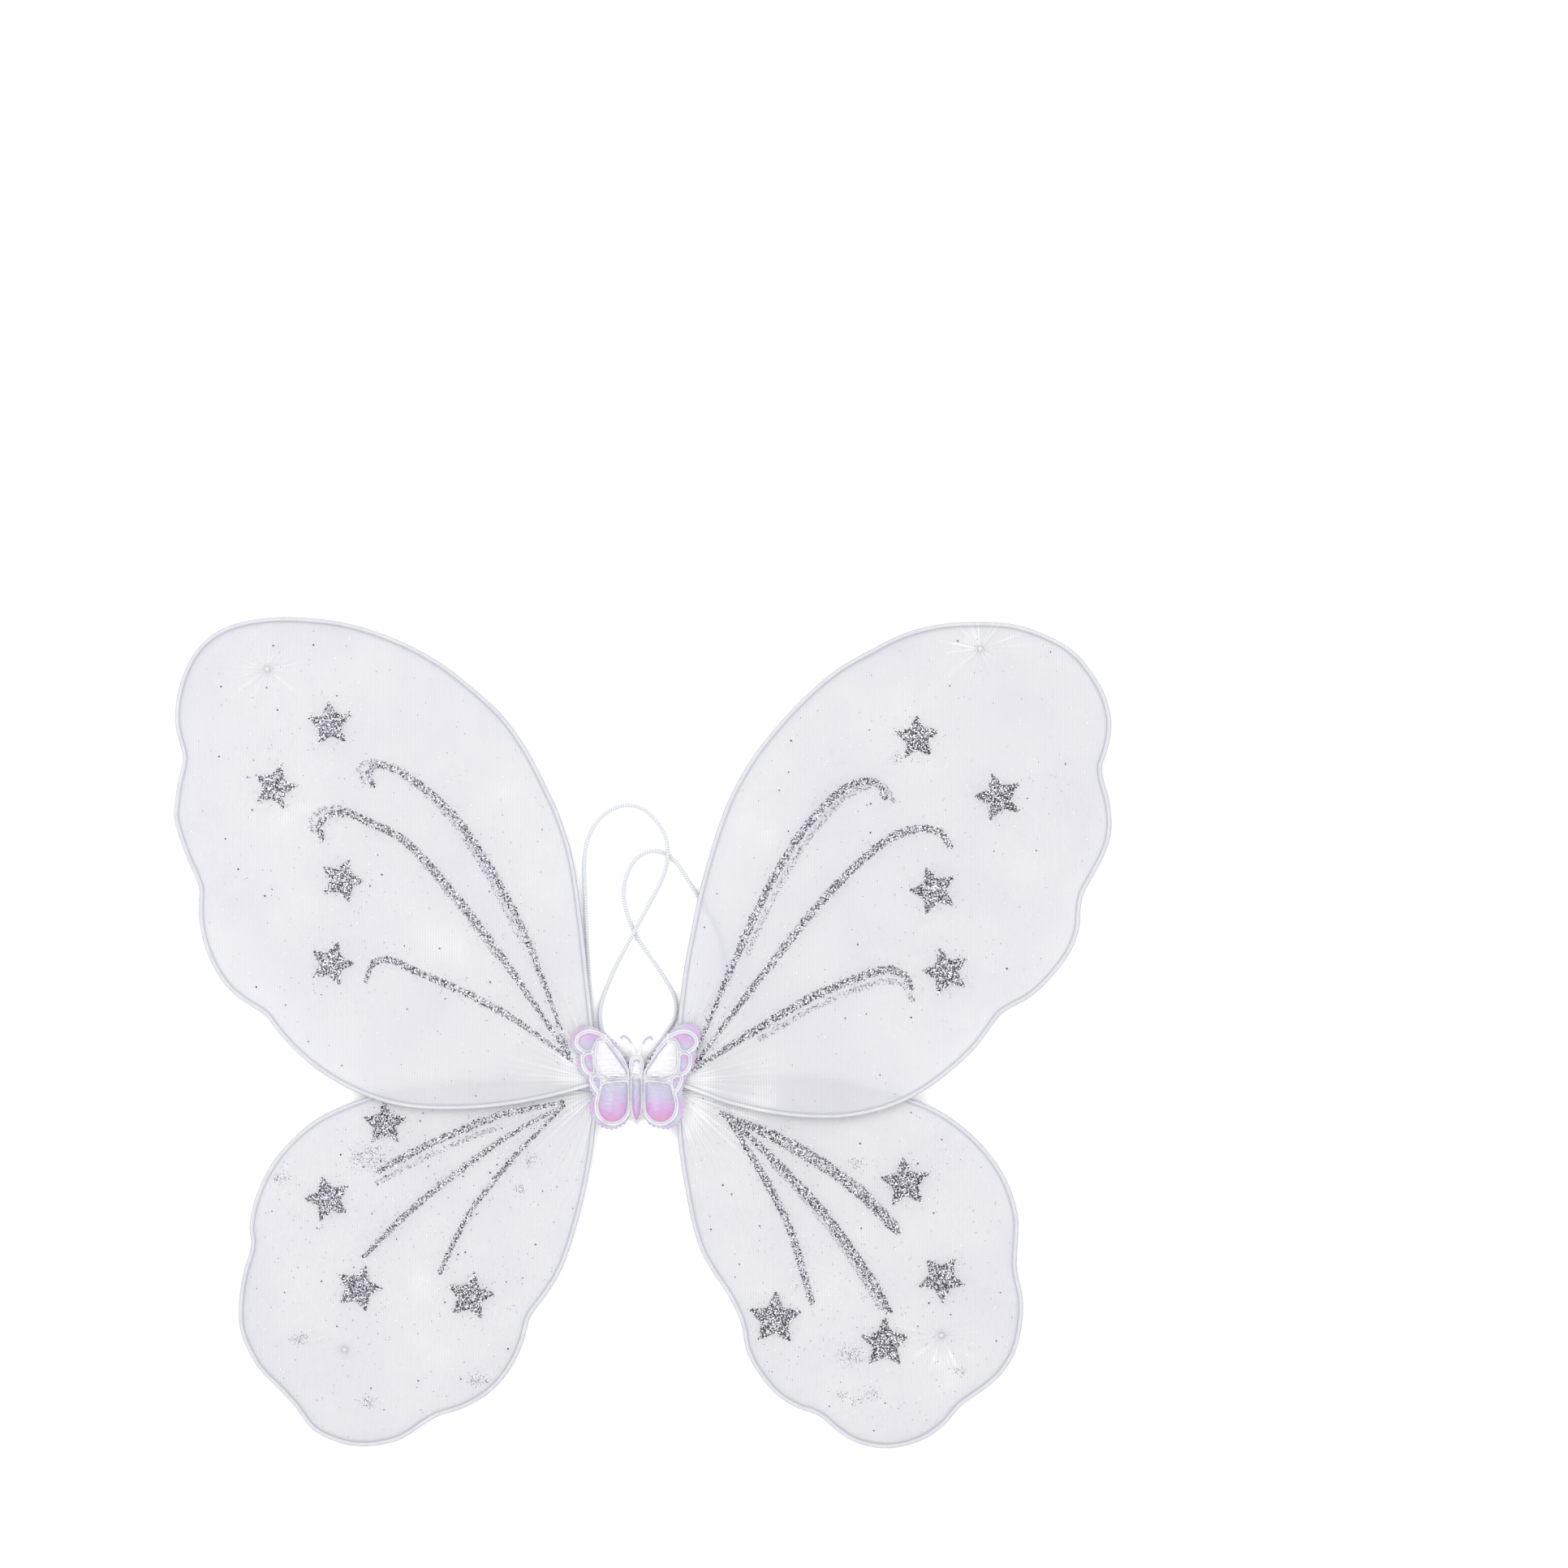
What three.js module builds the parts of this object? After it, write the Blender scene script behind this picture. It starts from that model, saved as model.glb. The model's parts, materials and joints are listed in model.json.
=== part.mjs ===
// Costume fairy wings: four bent-wire loops, each inside a sheer knitted sleeve, bundled at the
// centre under a padded butterfly, with two elastic shoulder loops at the back.
// Millimetres, +Z up. The wings lie on their back: the back pad's face is z = 0 with its middle at
// the origin, +Y points to the upper wings' tips and the padded butterfly faces +Z.
import * as THREE from "three";

// ---- driving dimensions ----
const WING_SPAN = 461; // tip to tip across both upper wings
const WING_HEIGHT = 409; // upper wings' tops to lower wings' bottoms
const DRAWN_SPAN = 461; // the span and height that the wing outlines below are drawn at
const DRAWN_HEIGHT = 409;

const WIRE_DIAMETER = 1.6;
const SLEEVE_WRAP = 0.15; // the knitted sleeve's thickness round the wire
const CLEARANCE = 0.3; // between pieces that touch on the real object

const STUB_TWIST_PITCH = 9; // two wires twisted together turn once in this length
const TWIST_STEP = 1.1; // length between the sections that a twist is made from
const STRAND_TURNS = [-0.42, -0.21, 0, 0.21, 0.42]; // half turns round the outside of one strand
const WIRE_START = 0.4; // a bent wire's ends stand this far out from its neck
const CRIMP_HALF_LENGTH = 7;
const TAIL_START = 1; // distances along X, from the centre outwards
const TAIL_SHOWING = 1.6;
const FOLD_GAP = 1.2;
const BAND_SETBACK = 1.8;
const BAND_LENGTH = 2.2;
const TIE_LENGTH = 2;
const NECK_GAP = 0.6;
const TIE_GAP = 0.2; // between an upper and a lower wing's thread ties
const CRIMP_WALL = 0.8;
const BAND_WALL = 0.6;
const TIE_WALL = 0.5;

const PAD_WIDTH = 30;
const PAD_LENGTH = 36;
const PAD_THICKNESS = 1.4;
const GLUE_WIDTH = 11;
const GLUE_LENGTH = 8;
const BACK_GLUE_THICKNESS = 0.6;
const FRONT_GLUE_THICKNESS = 0.6;
const LAYER_CLEARANCE = 1.4; // between the wires of an upper and a lower wing, where they cross
const PANEL_THICKNESS = 0.8;
const PANEL_CLEARANCE = 0.6; // more than elsewhere, for the notches between the scallops
const PANEL_START = 9; // a panel begins this far from its neck
const RISE_LENGTH = 4; // the wires climb from the root to their own plane over this distance
const BEAD_DIAMETER = 2.4; // fused end of a sleeve
const BEAD_HEIGHT = 0.9;

const BUTTERFLY_OFFSET = 5; // the butterfly's middle lies this far above the root
const BACKING_THICKNESS = 0.5;
const FILM_THICKNESS = 0.25;
const FILM_CLEARANCE = 0.5; // over the padding
const WING_PAD_HEIGHT = 3.8;
const BODY_PAD_HEIGHT = 3.4;
const WING_FLANGE = 2.2; // flat welded border round each padded pocket
const BODY_FLANGE = 0.9;
const FLEX_AXIS = 4.2; // the weld line that each wing of the butterfly flexes at
const FLEX_GAP = 1.8; // so that the welded edges clear each other when it folds
const ANTENNA_WIDTH = 1.3;
// The padding's side view, from its edge to its middle: [share of the way out, share of the height]
const DOME = [
  [1, 0], [0.86, 0.55], [0.6, 0.88], [0, 1],
];
const WING_SEGMENTS = 40; // round a padded pocket
const BODY_SEGMENTS = 24;

const CORD_DIAMETER = 2;
const KNOT_DIAMETER = 4.4;
const KNOT_OFFSET = { x: 5.2, y: 10.2 };

// How many straight pieces each curve is made from
const OUTLINE_STEPS = 96;
const WIRE_STEPS = 110;
const WIRE_SIDES = 6;
const CORD_STEPS = 78;
const CORD_SIDES = 8;
const TIE_SIDES = 12;
const BAND_SIDES = 20;
const CRIMP_SIDES = 24;
const PAD_SIDES = 36;

// ---- sizes and places that follow from them ----
const wireRadius = WIRE_DIAMETER / 2;
const stubDiameter = 2 * WIRE_DIAMETER;
const rootSpread = stubDiameter + 2 * (CLEARANCE + TIE_WALL) + TIE_GAP;
const layerGap = WIRE_DIAMETER + LAYER_CLEARANCE;

const tailEnd = CRIMP_HALF_LENGTH + TAIL_SHOWING;
const foldAxis = tailEnd + stubDiameter / 2; // each side folds about this line
const stubStart = foldAxis + FOLD_GAP;
const bandStart = stubStart + BAND_SETBACK;
const tieStart = bandStart + BAND_LENGTH + CLEARANCE;
const stubEnd = tieStart + TIE_LENGTH + CLEARANCE;
const neckX = stubEnd + NECK_GAP; // each wing swivels in its own plane here

const crimpInnerHalf = stubDiameter / 2 + CLEARANCE;
const crimpOuterHalf = crimpInnerHalf + CRIMP_WALL;
const glueBackZ = PAD_THICKNESS + CLEARANCE;
const rootZ = glueBackZ + BACK_GLUE_THICKNESS + CLEARANCE + crimpOuterHalf;
const upperZ = rootZ + layerGap / 2;
const lowerZ = rootZ - layerGap / 2;
const glueFrontZ = rootZ + crimpOuterHalf + CLEARANCE;
const backingZ = glueFrontZ + FRONT_GLUE_THICKNESS + CLEARANCE;
const restingZ = wireRadius + SLEEVE_WRAP; // a wing tip's plane where its sleeve meets the floor

// ---- finishes ----
const finish = (color, roughness, metalness = 0) =>
  new THREE.MeshStandardMaterial({ color, roughness, metalness });
const whiteWire = finish("#e9eaee", 0.45, 0.1);
const sheerKnit = finish("#e6e6ec", 0.75);
const whiteThread = finish("#f2f2f4", 0.8);
const zincCrimp = finish("#b9bcc2", 0.4, 0.9);
const whiteFelt = finish("#f3f3f3", 0.95);
const hotGlue = finish("#f0ead8", 0.35);
const whiteElastic = finish("#eceef2", 0.7);
const pearlFilm = finish("#e3c3e6", 0.2, 0.1);
const foam = finish("#fafafa", 0.95);

// ---- shape helpers ----
const point2 = (x, y) => new THREE.Vector2(x, y);
const point3 = (x, y, z) => new THREE.Vector3(x, y, z);

function ring(radius, sides) {
  const turn = (i) => ((i + 0.5) / sides) * 2 * Math.PI;
  return Array.from({ length: sides }, (_, i) =>
    point2(radius * Math.cos(turn(i)), radius * Math.sin(turn(i))),
  );
}

function tube(path, diameter, steps, sides) {
  return new THREE.ExtrudeGeometry(new THREE.Shape(ring(diameter / 2, sides)), {
    steps,
    extrudePath: path,
  });
}

function plate(outline, thickness, z = 0) {
  return new THREE.ExtrudeGeometry(new THREE.Shape(outline), {
    depth: thickness,
    bevelEnabled: false,
  }).translate(0, 0, z);
}

function oval(halfWidth, halfHeight, sides) {
  // A stadium: straight top and bottom with round ends.
  const straight = halfWidth - halfHeight;
  return Array.from({ length: sides }, (_, i) => {
    const turn = ((i + 0.5) / sides) * 2 * Math.PI;
    const side = Math.sign(Math.cos(turn));
    return point2(side * straight + halfHeight * Math.cos(turn), halfHeight * Math.sin(turn));
  });
}

// A sleeve along X, from its outer and inner outline, starting at x = start.
function sleeveAlongX(outer, inner, start, length, y, z) {
  const shape = new THREE.Shape(outer);
  shape.holes.push(new THREE.Path(inner));
  const geometry = new THREE.ExtrudeGeometry(shape, { depth: length, bevelEnabled: false });
  // Shape x runs along +Y and the extrusion along +X.
  return geometry
    .applyMatrix4(new THREE.Matrix4().makeBasis(point3(0, 1, 0), point3(0, 0, 1), point3(1, 0, 0)))
    .translate(start, y, z);
}

// Two wires twisted round each other, lying along X.
function twistedPair(start, length, y, z) {
  const strand = stubDiameter / 4;
  const section = [1, -1].flatMap((side) =>
    STRAND_TURNS.map((halves) => {
      const turn = halves * Math.PI;
      return point2(side * strand * (1 + Math.cos(turn)), side * strand * Math.sin(turn));
    }),
  );
  const geometry = new THREE.ExtrudeGeometry(new THREE.Shape(section), {
    depth: length,
    steps: Math.round(length / TWIST_STEP),
    bevelEnabled: false,
  });
  const at = geometry.getAttribute("position");
  for (let i = 0; i < at.count; i++) {
    const turn = (at.getZ(i) / STUB_TWIST_PITCH) * 2 * Math.PI;
    const [x, w] = [at.getX(i), at.getY(i)];
    at.setXY(i, x * Math.cos(turn) - w * Math.sin(turn), x * Math.sin(turn) + w * Math.cos(turn));
  }
  return geometry
    .applyMatrix4(new THREE.Matrix4().makeBasis(point3(0, 1, 0), point3(0, 0, 1), point3(1, 0, 0)))
    .translate(start, y, z);
}

const mirrored = (geometry) => {
  // Mirrors across x = 0 and turns each face round again.
  const flat = geometry.index ? geometry.toNonIndexed() : geometry;
  const at = flat.getAttribute("position");
  const out = new Float32Array(at.count * 3);
  for (let i = 0; i < at.count; i += 3)
    [0, 2, 1].forEach((k, n) =>
      out.set([-at.getX(i + k), at.getY(i + k), at.getZ(i + k)], (i + n) * 3),
    );
  return new THREE.BufferGeometry().setAttribute("position", new THREE.BufferAttribute(out, 3));
};
const onSide = (side, geometry) => (side < 0 ? mirrored(geometry) : geometry);

function add(parent, name, geometry, material) {
  const mesh = new THREE.Mesh(geometry, material);
  mesh.name = name;
  parent.add(mesh);
  return mesh;
}

// ---- wing outlines: the sleeve's outer edge, from the neck round and back to it ----
// X runs outwards from the centre and Y upwards, so left and right are drawn the same way. The
// loops are bent by hand, so a left wing and its right one differ a little.
const OUTLINES = {
  upper_left: [
    [20.2, 14], [21.7, 33], [24.3, 57], [26.8, 80], [31.2, 110], [37.4, 131], [45.5, 149], [54.5, 166],
    [66, 182], [81, 196], [98, 209], [118, 219.5], [142, 227.5], [166, 230.5], [185, 230], [202, 226],
    [214, 218], [222, 206], [226.8, 190], [227, 175], [223.6, 162], [226.4, 147], [227.8, 132],
    [225.8, 124], [220.7, 110], [215.4, 97.5], [215.6, 86], [214, 74], [210, 62], [202.4, 49.5],
    [193, 41.3], [183, 35], [176.8, 27], [167.7, 17], [156.4, 7.6], [144, 0], [132, -5.4],
    [118, -9.6], [103, -11.4], [87, -11.6], [72, -10.6], [56, -8.4], [40, -5], [29, -1.8],
  ],
  upper_right: [
    [19.8, 14], [20.4, 33], [23.2, 57], [26.5, 75], [30.2, 93], [34.6, 110], [41.1, 130.5],
    [47.2, 145], [56.4, 161], [68, 176], [83, 192], [98.5, 205], [114, 214], [131, 222.4],
    [150, 227.3], [172, 228.3], [188, 226.6], [203, 221.2], [215.5, 213.6], [225.8, 201],
    [231.4, 189.5], [233.6, 177], [231.8, 166], [228.8, 155], [232.5, 140], [233.5, 126],
    [230.1, 113.8], [223, 100.5], [218.6, 91], [218, 80], [214.8, 68.9], [207.6, 57.7],
    [195.4, 45], [183, 37.8], [177.6, 33.5], [166.8, 19], [153.5, 6.6], [139.3, -3.6],
    [126, -10], [112, -14], [98, -15.8], [79, -15.4], [60, -12.6], [42, -8], [29, -2.6],
  ],
  lower_left: [
    [29, -1.2], [42, 1.8], [57, 2.7], [77, 2.3], [98, 0.7], [114, -1.4], [131, -5], [154, -14.4],
    [168, -24.8], [179.3, -37.8], [187, -53], [190.7, -68], [190, -79], [194, -93], [196, -108],
    [195, -122], [187.3, -138.2], [176.5, -149.6], [168, -159], [160, -169.5], [146, -176.3],
    [132, -177.8], [117, -174.6], [106, -167.8], [98, -163], [85.6, -159], [72.2, -151],
    [62, -139], [55.6, -125], [52.6, -114], [43.5, -101.5], [36, -88], [30, -70], [25.6, -53],
    [22.4, -36], [20.4, -20], [19.6, -11],
  ],
  lower_right: [
    [29, 2.6], [40, 4.9], [54, 5.3], [72, 4.8], [92, 3.2], [112, -0.4], [131, -5.2], [148, -12],
    [162.4, -22.1], [174.3, -34.5], [183, -49], [187.6, -65], [187.4, -78], [187, -90],
    [189.8, -104], [189.6, -117], [186.4, -131], [178.8, -143], [168, -152], [159.5, -158],
    [151.7, -167], [142, -174], [129.4, -178.2], [117.8, -178.5], [106, -175.2], [97, -169],
    [89, -162.4], [80, -159.3], [69.3, -153], [60.5, -142.8], [54, -131], [51.2, -117],
    [45, -103.8], [38.6, -94], [31.6, -82], [27.2, -68], [24.2, -53], [21.4, -36], [19.8, -20],
    [19.2, -11],
  ],
};

const SIDES = { left: -1, right: 1 };
const TIERS = { upper: 1, lower: -1 };
// Where the sleeve's fused end gathers the knit, X outwards.
const GATHERS = {
  upper_left: [182, 205],
  upper_right: [169, 215],
  lower_left: [144, -130],
  lower_right: [150, -123],
};

const neckY = (tier) => (TIERS[tier] * rootSpread) / 2;

// A drawn point in the wing's own frame, whose origin is the neck.
function wingPoint(tier, [x, y]) {
  return point2(
    ((x - neckX) * WING_SPAN) / DRAWN_SPAN,
    ((y - neckY(tier)) * WING_HEIGHT) / DRAWN_HEIGHT,
  );
}

// The outline moved inwards by distance, as points from one neck end to the other.
function inset(points, distance, inwards) {
  return points.map((p, i) => {
    const before = points[Math.max(i - 1, 0)];
    const after = points[Math.min(i + 1, points.length - 1)];
    const along = after.clone().sub(before).normalize();
    return point2(p.x - inwards * along.y * distance, p.y + inwards * along.x * distance);
  });
}

function wingLines(name, tier) {
  const drawn = OUTLINES[name].map((p) => wingPoint(tier, p));
  const smooth = new THREE.SplineCurve(drawn);
  smooth.arcLengthDivisions = 800;
  const outer = smooth.getSpacedPoints(OUTLINE_STEPS);
  // Upper loops run clockwise and lower ones too, so inwards is to the right of the path.
  return { outer, wire: inset(outer, wireRadius + SLEEVE_WRAP, -1) };
}

// How far the wire has climbed from the root's height to its own plane.
function climb(p) {
  const t = Math.min(1, p.length() / RISE_LENGTH);
  return t * t * (3 - 2 * t);
}

function frameWire(lines, tier) {
  const drop = (TIERS[tier] * -layerGap) / 2;
  const pair = WIRE_DIAMETER / 2 + CLEARANCE / 2;
  // The two ends lie one beside the other at the neck.
  const path = [point2(WIRE_START, pair), ...lines.wire, point2(WIRE_START, -pair)];
  return new THREE.CatmullRomCurve3(
    path.map((p) => point3(p.x, p.y, drop * (1 - climb(p)))),
    false,
    "centripetal",
  );
}

function panelOutline(lines) {
  const inner = inset(lines.wire, wireRadius + PANEL_CLEARANCE, -1);
  return inner.filter((p) => p.length() > PANEL_START);
}

// A tier's plane tips down towards its far edge, so that the edge rests on the floor.
function droop(name, tier) {
  const reach = Math.max(
    ...OUTLINES[name].map((p) => TIERS[tier] * wingPoint(tier, p).y),
  );
  const height = (tier === "upper" ? upperZ : lowerZ) - restingZ;
  return -TIERS[tier] * Math.asin(height / reach);
}

function wing(sideName, tier) {
  const name = `${tier}_${sideName}`;
  const side = SIDES[sideName];
  const lines = wingLines(name, tier);
  const group = new THREE.Group();
  group.position.set(side * neckX, neckY(tier), tier === "upper" ? upperZ : lowerZ);
  group.rotation.x = droop(name, tier);
  const wire = tube(frameWire(lines, tier), WIRE_DIAMETER, WIRE_STEPS, WIRE_SIDES);
  add(group, `${name}_frame_wire`, onSide(side, wire), whiteWire);
  const panel = plate(panelOutline(lines), PANEL_THICKNESS, -PANEL_THICKNESS / 2);
  add(group, `${name}_sleeve`, onSide(side, panel), sheerKnit);
  const gather = wingPoint(tier, GATHERS[name]);
  const bead = new THREE.CylinderGeometry(BEAD_DIAMETER / 4, BEAD_DIAMETER / 2, BEAD_HEIGHT, 10)
    .rotateX(Math.PI / 2)
    .translate(gather.x, gather.y, PANEL_THICKNESS / 2 + CLEARANCE + BEAD_HEIGHT / 2);
  add(group, `${name}_sleeve_end`, onSide(side, bead), sheerKnit);
  return group;
}

// ---- the root of one side: twisted wires, thread ties and the band round both ----
function sideRoot(sideName) {
  const side = SIDES[sideName];
  const group = new THREE.Group();
  for (const tier of Object.keys(TIERS)) {
    const y = neckY(tier);
    const stub = twistedPair(stubStart, stubEnd - stubStart, y, rootZ);
    add(group, `${tier}_${sideName}_twist`, onSide(side, stub), whiteWire);
    const inner = stubDiameter / 2 + CLEARANCE;
    const tie = sleeveAlongX(
      ring(inner + TIE_WALL, TIE_SIDES),
      ring(inner, TIE_SIDES),
      tieStart,
      TIE_LENGTH,
      y,
      rootZ,
    );
    add(group, `${tier}_${sideName}_neck_thread`, onSide(side, tie), whiteThread);
    const tail = twistedPair(TAIL_START, tailEnd - TAIL_START, y, rootZ);
    add(centre, `${tier}_${sideName}_wire_tail`, onSide(side, tail), whiteWire);
  }
  const innerHalf = stubDiameter / 2 + CLEARANCE;
  const band = sleeveAlongX(
    oval(rootSpread / 2 + innerHalf + BAND_WALL, innerHalf + BAND_WALL, BAND_SIDES),
    oval(rootSpread / 2 + innerHalf, innerHalf, BAND_SIDES),
    bandStart,
    BAND_LENGTH,
    0,
    rootZ,
  );
  add(group, `${sideName}_root_band`, onSide(side, band), whiteThread);
  return group;
}

// ---- the padded butterfly ----
const WELD_LINE = FLEX_AXIS + FLEX_GAP / 2;
const BUTTERFLY_WING = [
  [WELD_LINE, 6], [6.5, 12], [10.5, 17], [15, 21], [20, 24.3], [25, 25.3], [29, 23.4], [31.3, 19],
  [30.8, 14], [28.2, 10.6], [28.6, 6], [26.6, 1.6], [23.4, -1.4], [23.7, -6], [21.6, -9],
  [22.8, -14], [21.4, -20], [17, -24.4], [11, -25.8], [6.4, -23.4],
  [WELD_LINE, -19.5],
];
const BODY_HALF = FLEX_AXIS - FLEX_GAP / 2;
const BUTTERFLY_BODY = [
  [0, 11.4], [1.9, 10.2], [2.8, 6], [2.6, 1], [BODY_HALF, -6], [BODY_HALF, -14], [3, -20.5],
  [0, -24.6],
];
const ANTENNA = [
  [0.9, 12.2], [1.4, 15.4], [3, 18.6], [5.4, 20.2],
];
const WING_POCKET_MIDDLE = point2(14, 1);
const BODY_POCKET_MIDDLE = point2(0, -7);

// How far an outline lies from middle, in the direction of turn.
function reachOf(outline, middle, turn) {
  const way = point2(Math.cos(turn), Math.sin(turn));
  let reach = 0;
  outline.forEach((a, i) => {
    const b = outline[(i + 1) % outline.length];
    const [p, q] = [a.clone().sub(middle), b.clone().sub(middle)];
    const [s, t] = [way.cross(p), way.cross(q)];
    if (s * t > 0 || s === t) return;
    const hit = p.clone().lerp(q, s / (s - t)).dot(way);
    reach = Math.max(reach, hit);
  });
  return reach;
}

// A turned profile stretched out to an outline. Profile points are [share of the reach, inset, z].
function pocketPart(outline, middle, profile, segments) {
  const geometry = new THREE.LatheGeometry(
    profile.map(([share, , z], i) => point2(share === 0 ? 0 : 1 + i, z)),
    segments,
  );
  const at = geometry.getAttribute("position");
  const rows = profile.length;
  for (let i = 0; i < at.count; i++) {
    const [share, border] = profile[i % rows];
    // LatheGeometry turns from +Z towards +X; here that becomes a turn in the XY plane.
    const turn = (Math.floor(i / rows) / segments) * 2 * Math.PI;
    const reach = share * (reachOf(outline, middle, turn) - border);
    at.setXYZ(
      i,
      middle.x + reach * Math.cos(turn),
      middle.y + reach * Math.sin(turn),
      at.getY(i),
    );
  }
  return geometry;
}

function domeRows(height, base, flange) {
  return DOME.map(([share, lift]) => [share, flange, base + height * lift]);
}

// One pocket of the butterfly: backing, padding and the film welded over them.
function pocket(parent, label, side, { outline, middle, height, flange, segments }) {
  const base = BACKING_THICKNESS + CLEARANCE;
  const filmBase = base + FILM_CLEARANCE;
  const innerFlange = flange - CLEARANCE;
  const inside = domeRows(height, filmBase, innerFlange);
  const outside = domeRows(height, filmBase + FILM_THICKNESS, innerFlange - FILM_THICKNESS);
  const profiles = {
    backing: [
      [0, 0, 0],
      [1, 0, 0],
      [1, 0, BACKING_THICKNESS],
      [0, 0, BACKING_THICKNESS],
    ],
    padding: [[0, 0, base], ...domeRows(height, base, flange)],
    film: [
      ...inside.reverse(),
      [1, 0, filmBase],
      [1, 0, filmBase + FILM_THICKNESS],
      ...outside,
    ],
  };
  const stuff = { backing: whiteFelt, padding: foam, film: pearlFilm };
  for (const [piece, profile] of Object.entries(profiles)) {
    const geometry = pocketPart(outline, middle, profile, segments);
    const placed = onSide(side, geometry).translate(0, BUTTERFLY_OFFSET, backingZ);
    add(parent, `${label}_${piece}`, placed, stuff[piece]);
  }
}

function antenna(side) {
  const line = new THREE.SplineCurve(ANTENNA.map(([x, y]) => point2(x, y))).getPoints(8);
  const half = ANTENNA_WIDTH / 2;
  const outline = [...inset(line, half, 1), ...inset(line, half, -1).reverse()];
  return onSide(side, plate(outline.reverse(), BACKING_THICKNESS)).translate(
    0,
    BUTTERFLY_OFFSET,
    backingZ,
  );
}

// ---- shoulder loops: elastic cord lying on the floor behind the wings ----
// Points are [x, y, lift], from one end at the knot to the other. The lift off the floor is in
// cord diameters, so that a cord passes over another at 1 or more.
const CORDS = {
  left: [
    [-7.4, 12.6, 1.1], [-10.4, 15.8, 0.7], [-14.6, 19.6, 0.2], [-19, 24.4, 0], [-21.8, 32, 0],
    [-23.2, 46, 0], [-24.4, 66, 0], [-25.4, 90, 0], [-25.9, 112, 0], [-24, 122, 0],
    [-19.6, 130, 0], [-13, 135.6, 0], [-5.4, 138, 0], [2.6, 136.2, 0], [9.2, 130.4, 0],
    [13.6, 123.4, 0.5], [15.1, 114.6, 1.15], [14, 106.6, 0.5], [10.4, 97.6, 0.05], [5.6, 88.6, 0.3],
    [1.6, 81, 0.8], [-2.2, 74, 1.15], [-6.2, 66.8, 0.7], [-9.8, 60, 0.1], [-13.6, 51.6, 0],
    [-17, 42.6, 0], [-18.4, 34.4, 0], [-17, 26.4, 0], [-12.8, 21, 0.2], [-8.6, 17, 0.7],
    [-5.6, 13.6, 1.1],
  ],
  right: [
    [5.6, 13.6, 1.1], [9, 18, 0.7], [13.6, 24.6, 0.1], [18.6, 33.6, 0], [18.8, 42, 0],
    [14.2, 51.7, 0], [7.7, 61.5, 0], [2, 69.6, 0], [-2.1, 77, 0], [-5.4, 86, 0],
    [-6.7, 94.1, 0], [-5.4, 102.7, 0], [-2.1, 109.6, 0], [2.8, 114, 0], [8.1, 115.5, 0],
    [14.2, 114, 0], [19.4, 109.6, 0], [24.4, 102, 0], [30.4, 92.4, 0], [37, 81, 0],
    [41.6, 69, 0], [42.4, 57, 0], [38.4, 45, 0], [30.4, 34.4, 0], [20.4, 25.4, 0],
    [12.4, 18.2, 0.5], [7.6, 12.9, 1.1],
  ],
};

function shoulderCord(sideName) {
  const path = new THREE.CatmullRomCurve3(
    CORDS[sideName].map(([x, y, lift]) => point3(x, y, CORD_DIAMETER * (0.5 + lift))),
    false,
    "centripetal",
  );
  path.arcLengthDivisions = 600;
  return tube(path, CORD_DIAMETER, CORD_STEPS, CORD_SIDES);
}

function cordKnot(side) {
  return new THREE.SphereGeometry(KNOT_DIAMETER / 2, 12, 8).translate(
    side * KNOT_OFFSET.x,
    KNOT_OFFSET.y,
    PAD_THICKNESS + CLEARANCE + KNOT_DIAMETER / 2,
  );
}

// ---- the assembly ----
const wings = new THREE.Group();
const centre = new THREE.Group();
wings.add(centre);

const crimp = sleeveAlongX(
  oval(rootSpread / 2 + crimpOuterHalf, crimpOuterHalf, CRIMP_SIDES),
  oval(rootSpread / 2 + crimpInnerHalf, crimpInnerHalf, CRIMP_SIDES),
  -CRIMP_HALF_LENGTH,
  2 * CRIMP_HALF_LENGTH,
  0,
  rootZ,
);
add(centre, "centre_crimp", crimp, zincCrimp);

const ellipse = new THREE.EllipseCurve(0, 0, PAD_WIDTH / 2, PAD_LENGTH / 2).getPoints(PAD_SIDES);
add(centre, "back_pad", plate(ellipse.slice(0, -1), PAD_THICKNESS), whiteFelt);
const glueOutline = oval(GLUE_WIDTH / 2, GLUE_LENGTH / 2, 16);
add(centre, "back_glue", plate(glueOutline, BACK_GLUE_THICKNESS, glueBackZ), hotGlue);
add(centre, "front_glue", plate(glueOutline, FRONT_GLUE_THICKNESS, glueFrontZ), hotGlue);

for (const [sideName, side] of Object.entries(SIDES)) {
  wings.add(sideRoot(sideName));
  for (const tier of Object.keys(TIERS)) wings.add(wing(sideName, tier));
  add(centre, `${sideName}_shoulder_elastic`, shoulderCord(sideName), whiteElastic);
  add(centre, `${sideName}_elastic_knot`, cordKnot(side), whiteElastic);
  add(centre, `${sideName}_antenna`, antenna(side), pearlFilm);
  pocket(wings, `butterfly_${sideName}_wing`, side, {
    outline: BUTTERFLY_WING.map(([x, y]) => point2(x, y)),
    middle: WING_POCKET_MIDDLE,
    height: WING_PAD_HEIGHT,
    flange: WING_FLANGE,
    segments: WING_SEGMENTS,
  });
}
const bodyHalf = BUTTERFLY_BODY.map(([x, y]) => point2(x, y));
const bodyOther = bodyHalf
  .slice(1, -1)
  .map((p) => point2(-p.x, p.y))
  .reverse();
pocket(centre, "butterfly_body", 1, {
  outline: [...bodyHalf, ...bodyOther],
  middle: BODY_POCKET_MIDDLE,
  height: BODY_PAD_HEIGHT,
  flange: BODY_FLANGE,
  segments: BODY_SEGMENTS,
});

export default wings;
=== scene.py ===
import json
import math
import random

import bmesh
import bpy
import numpy as np
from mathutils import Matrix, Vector
from mathutils.geometry import delaunay_2d_cdt


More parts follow.
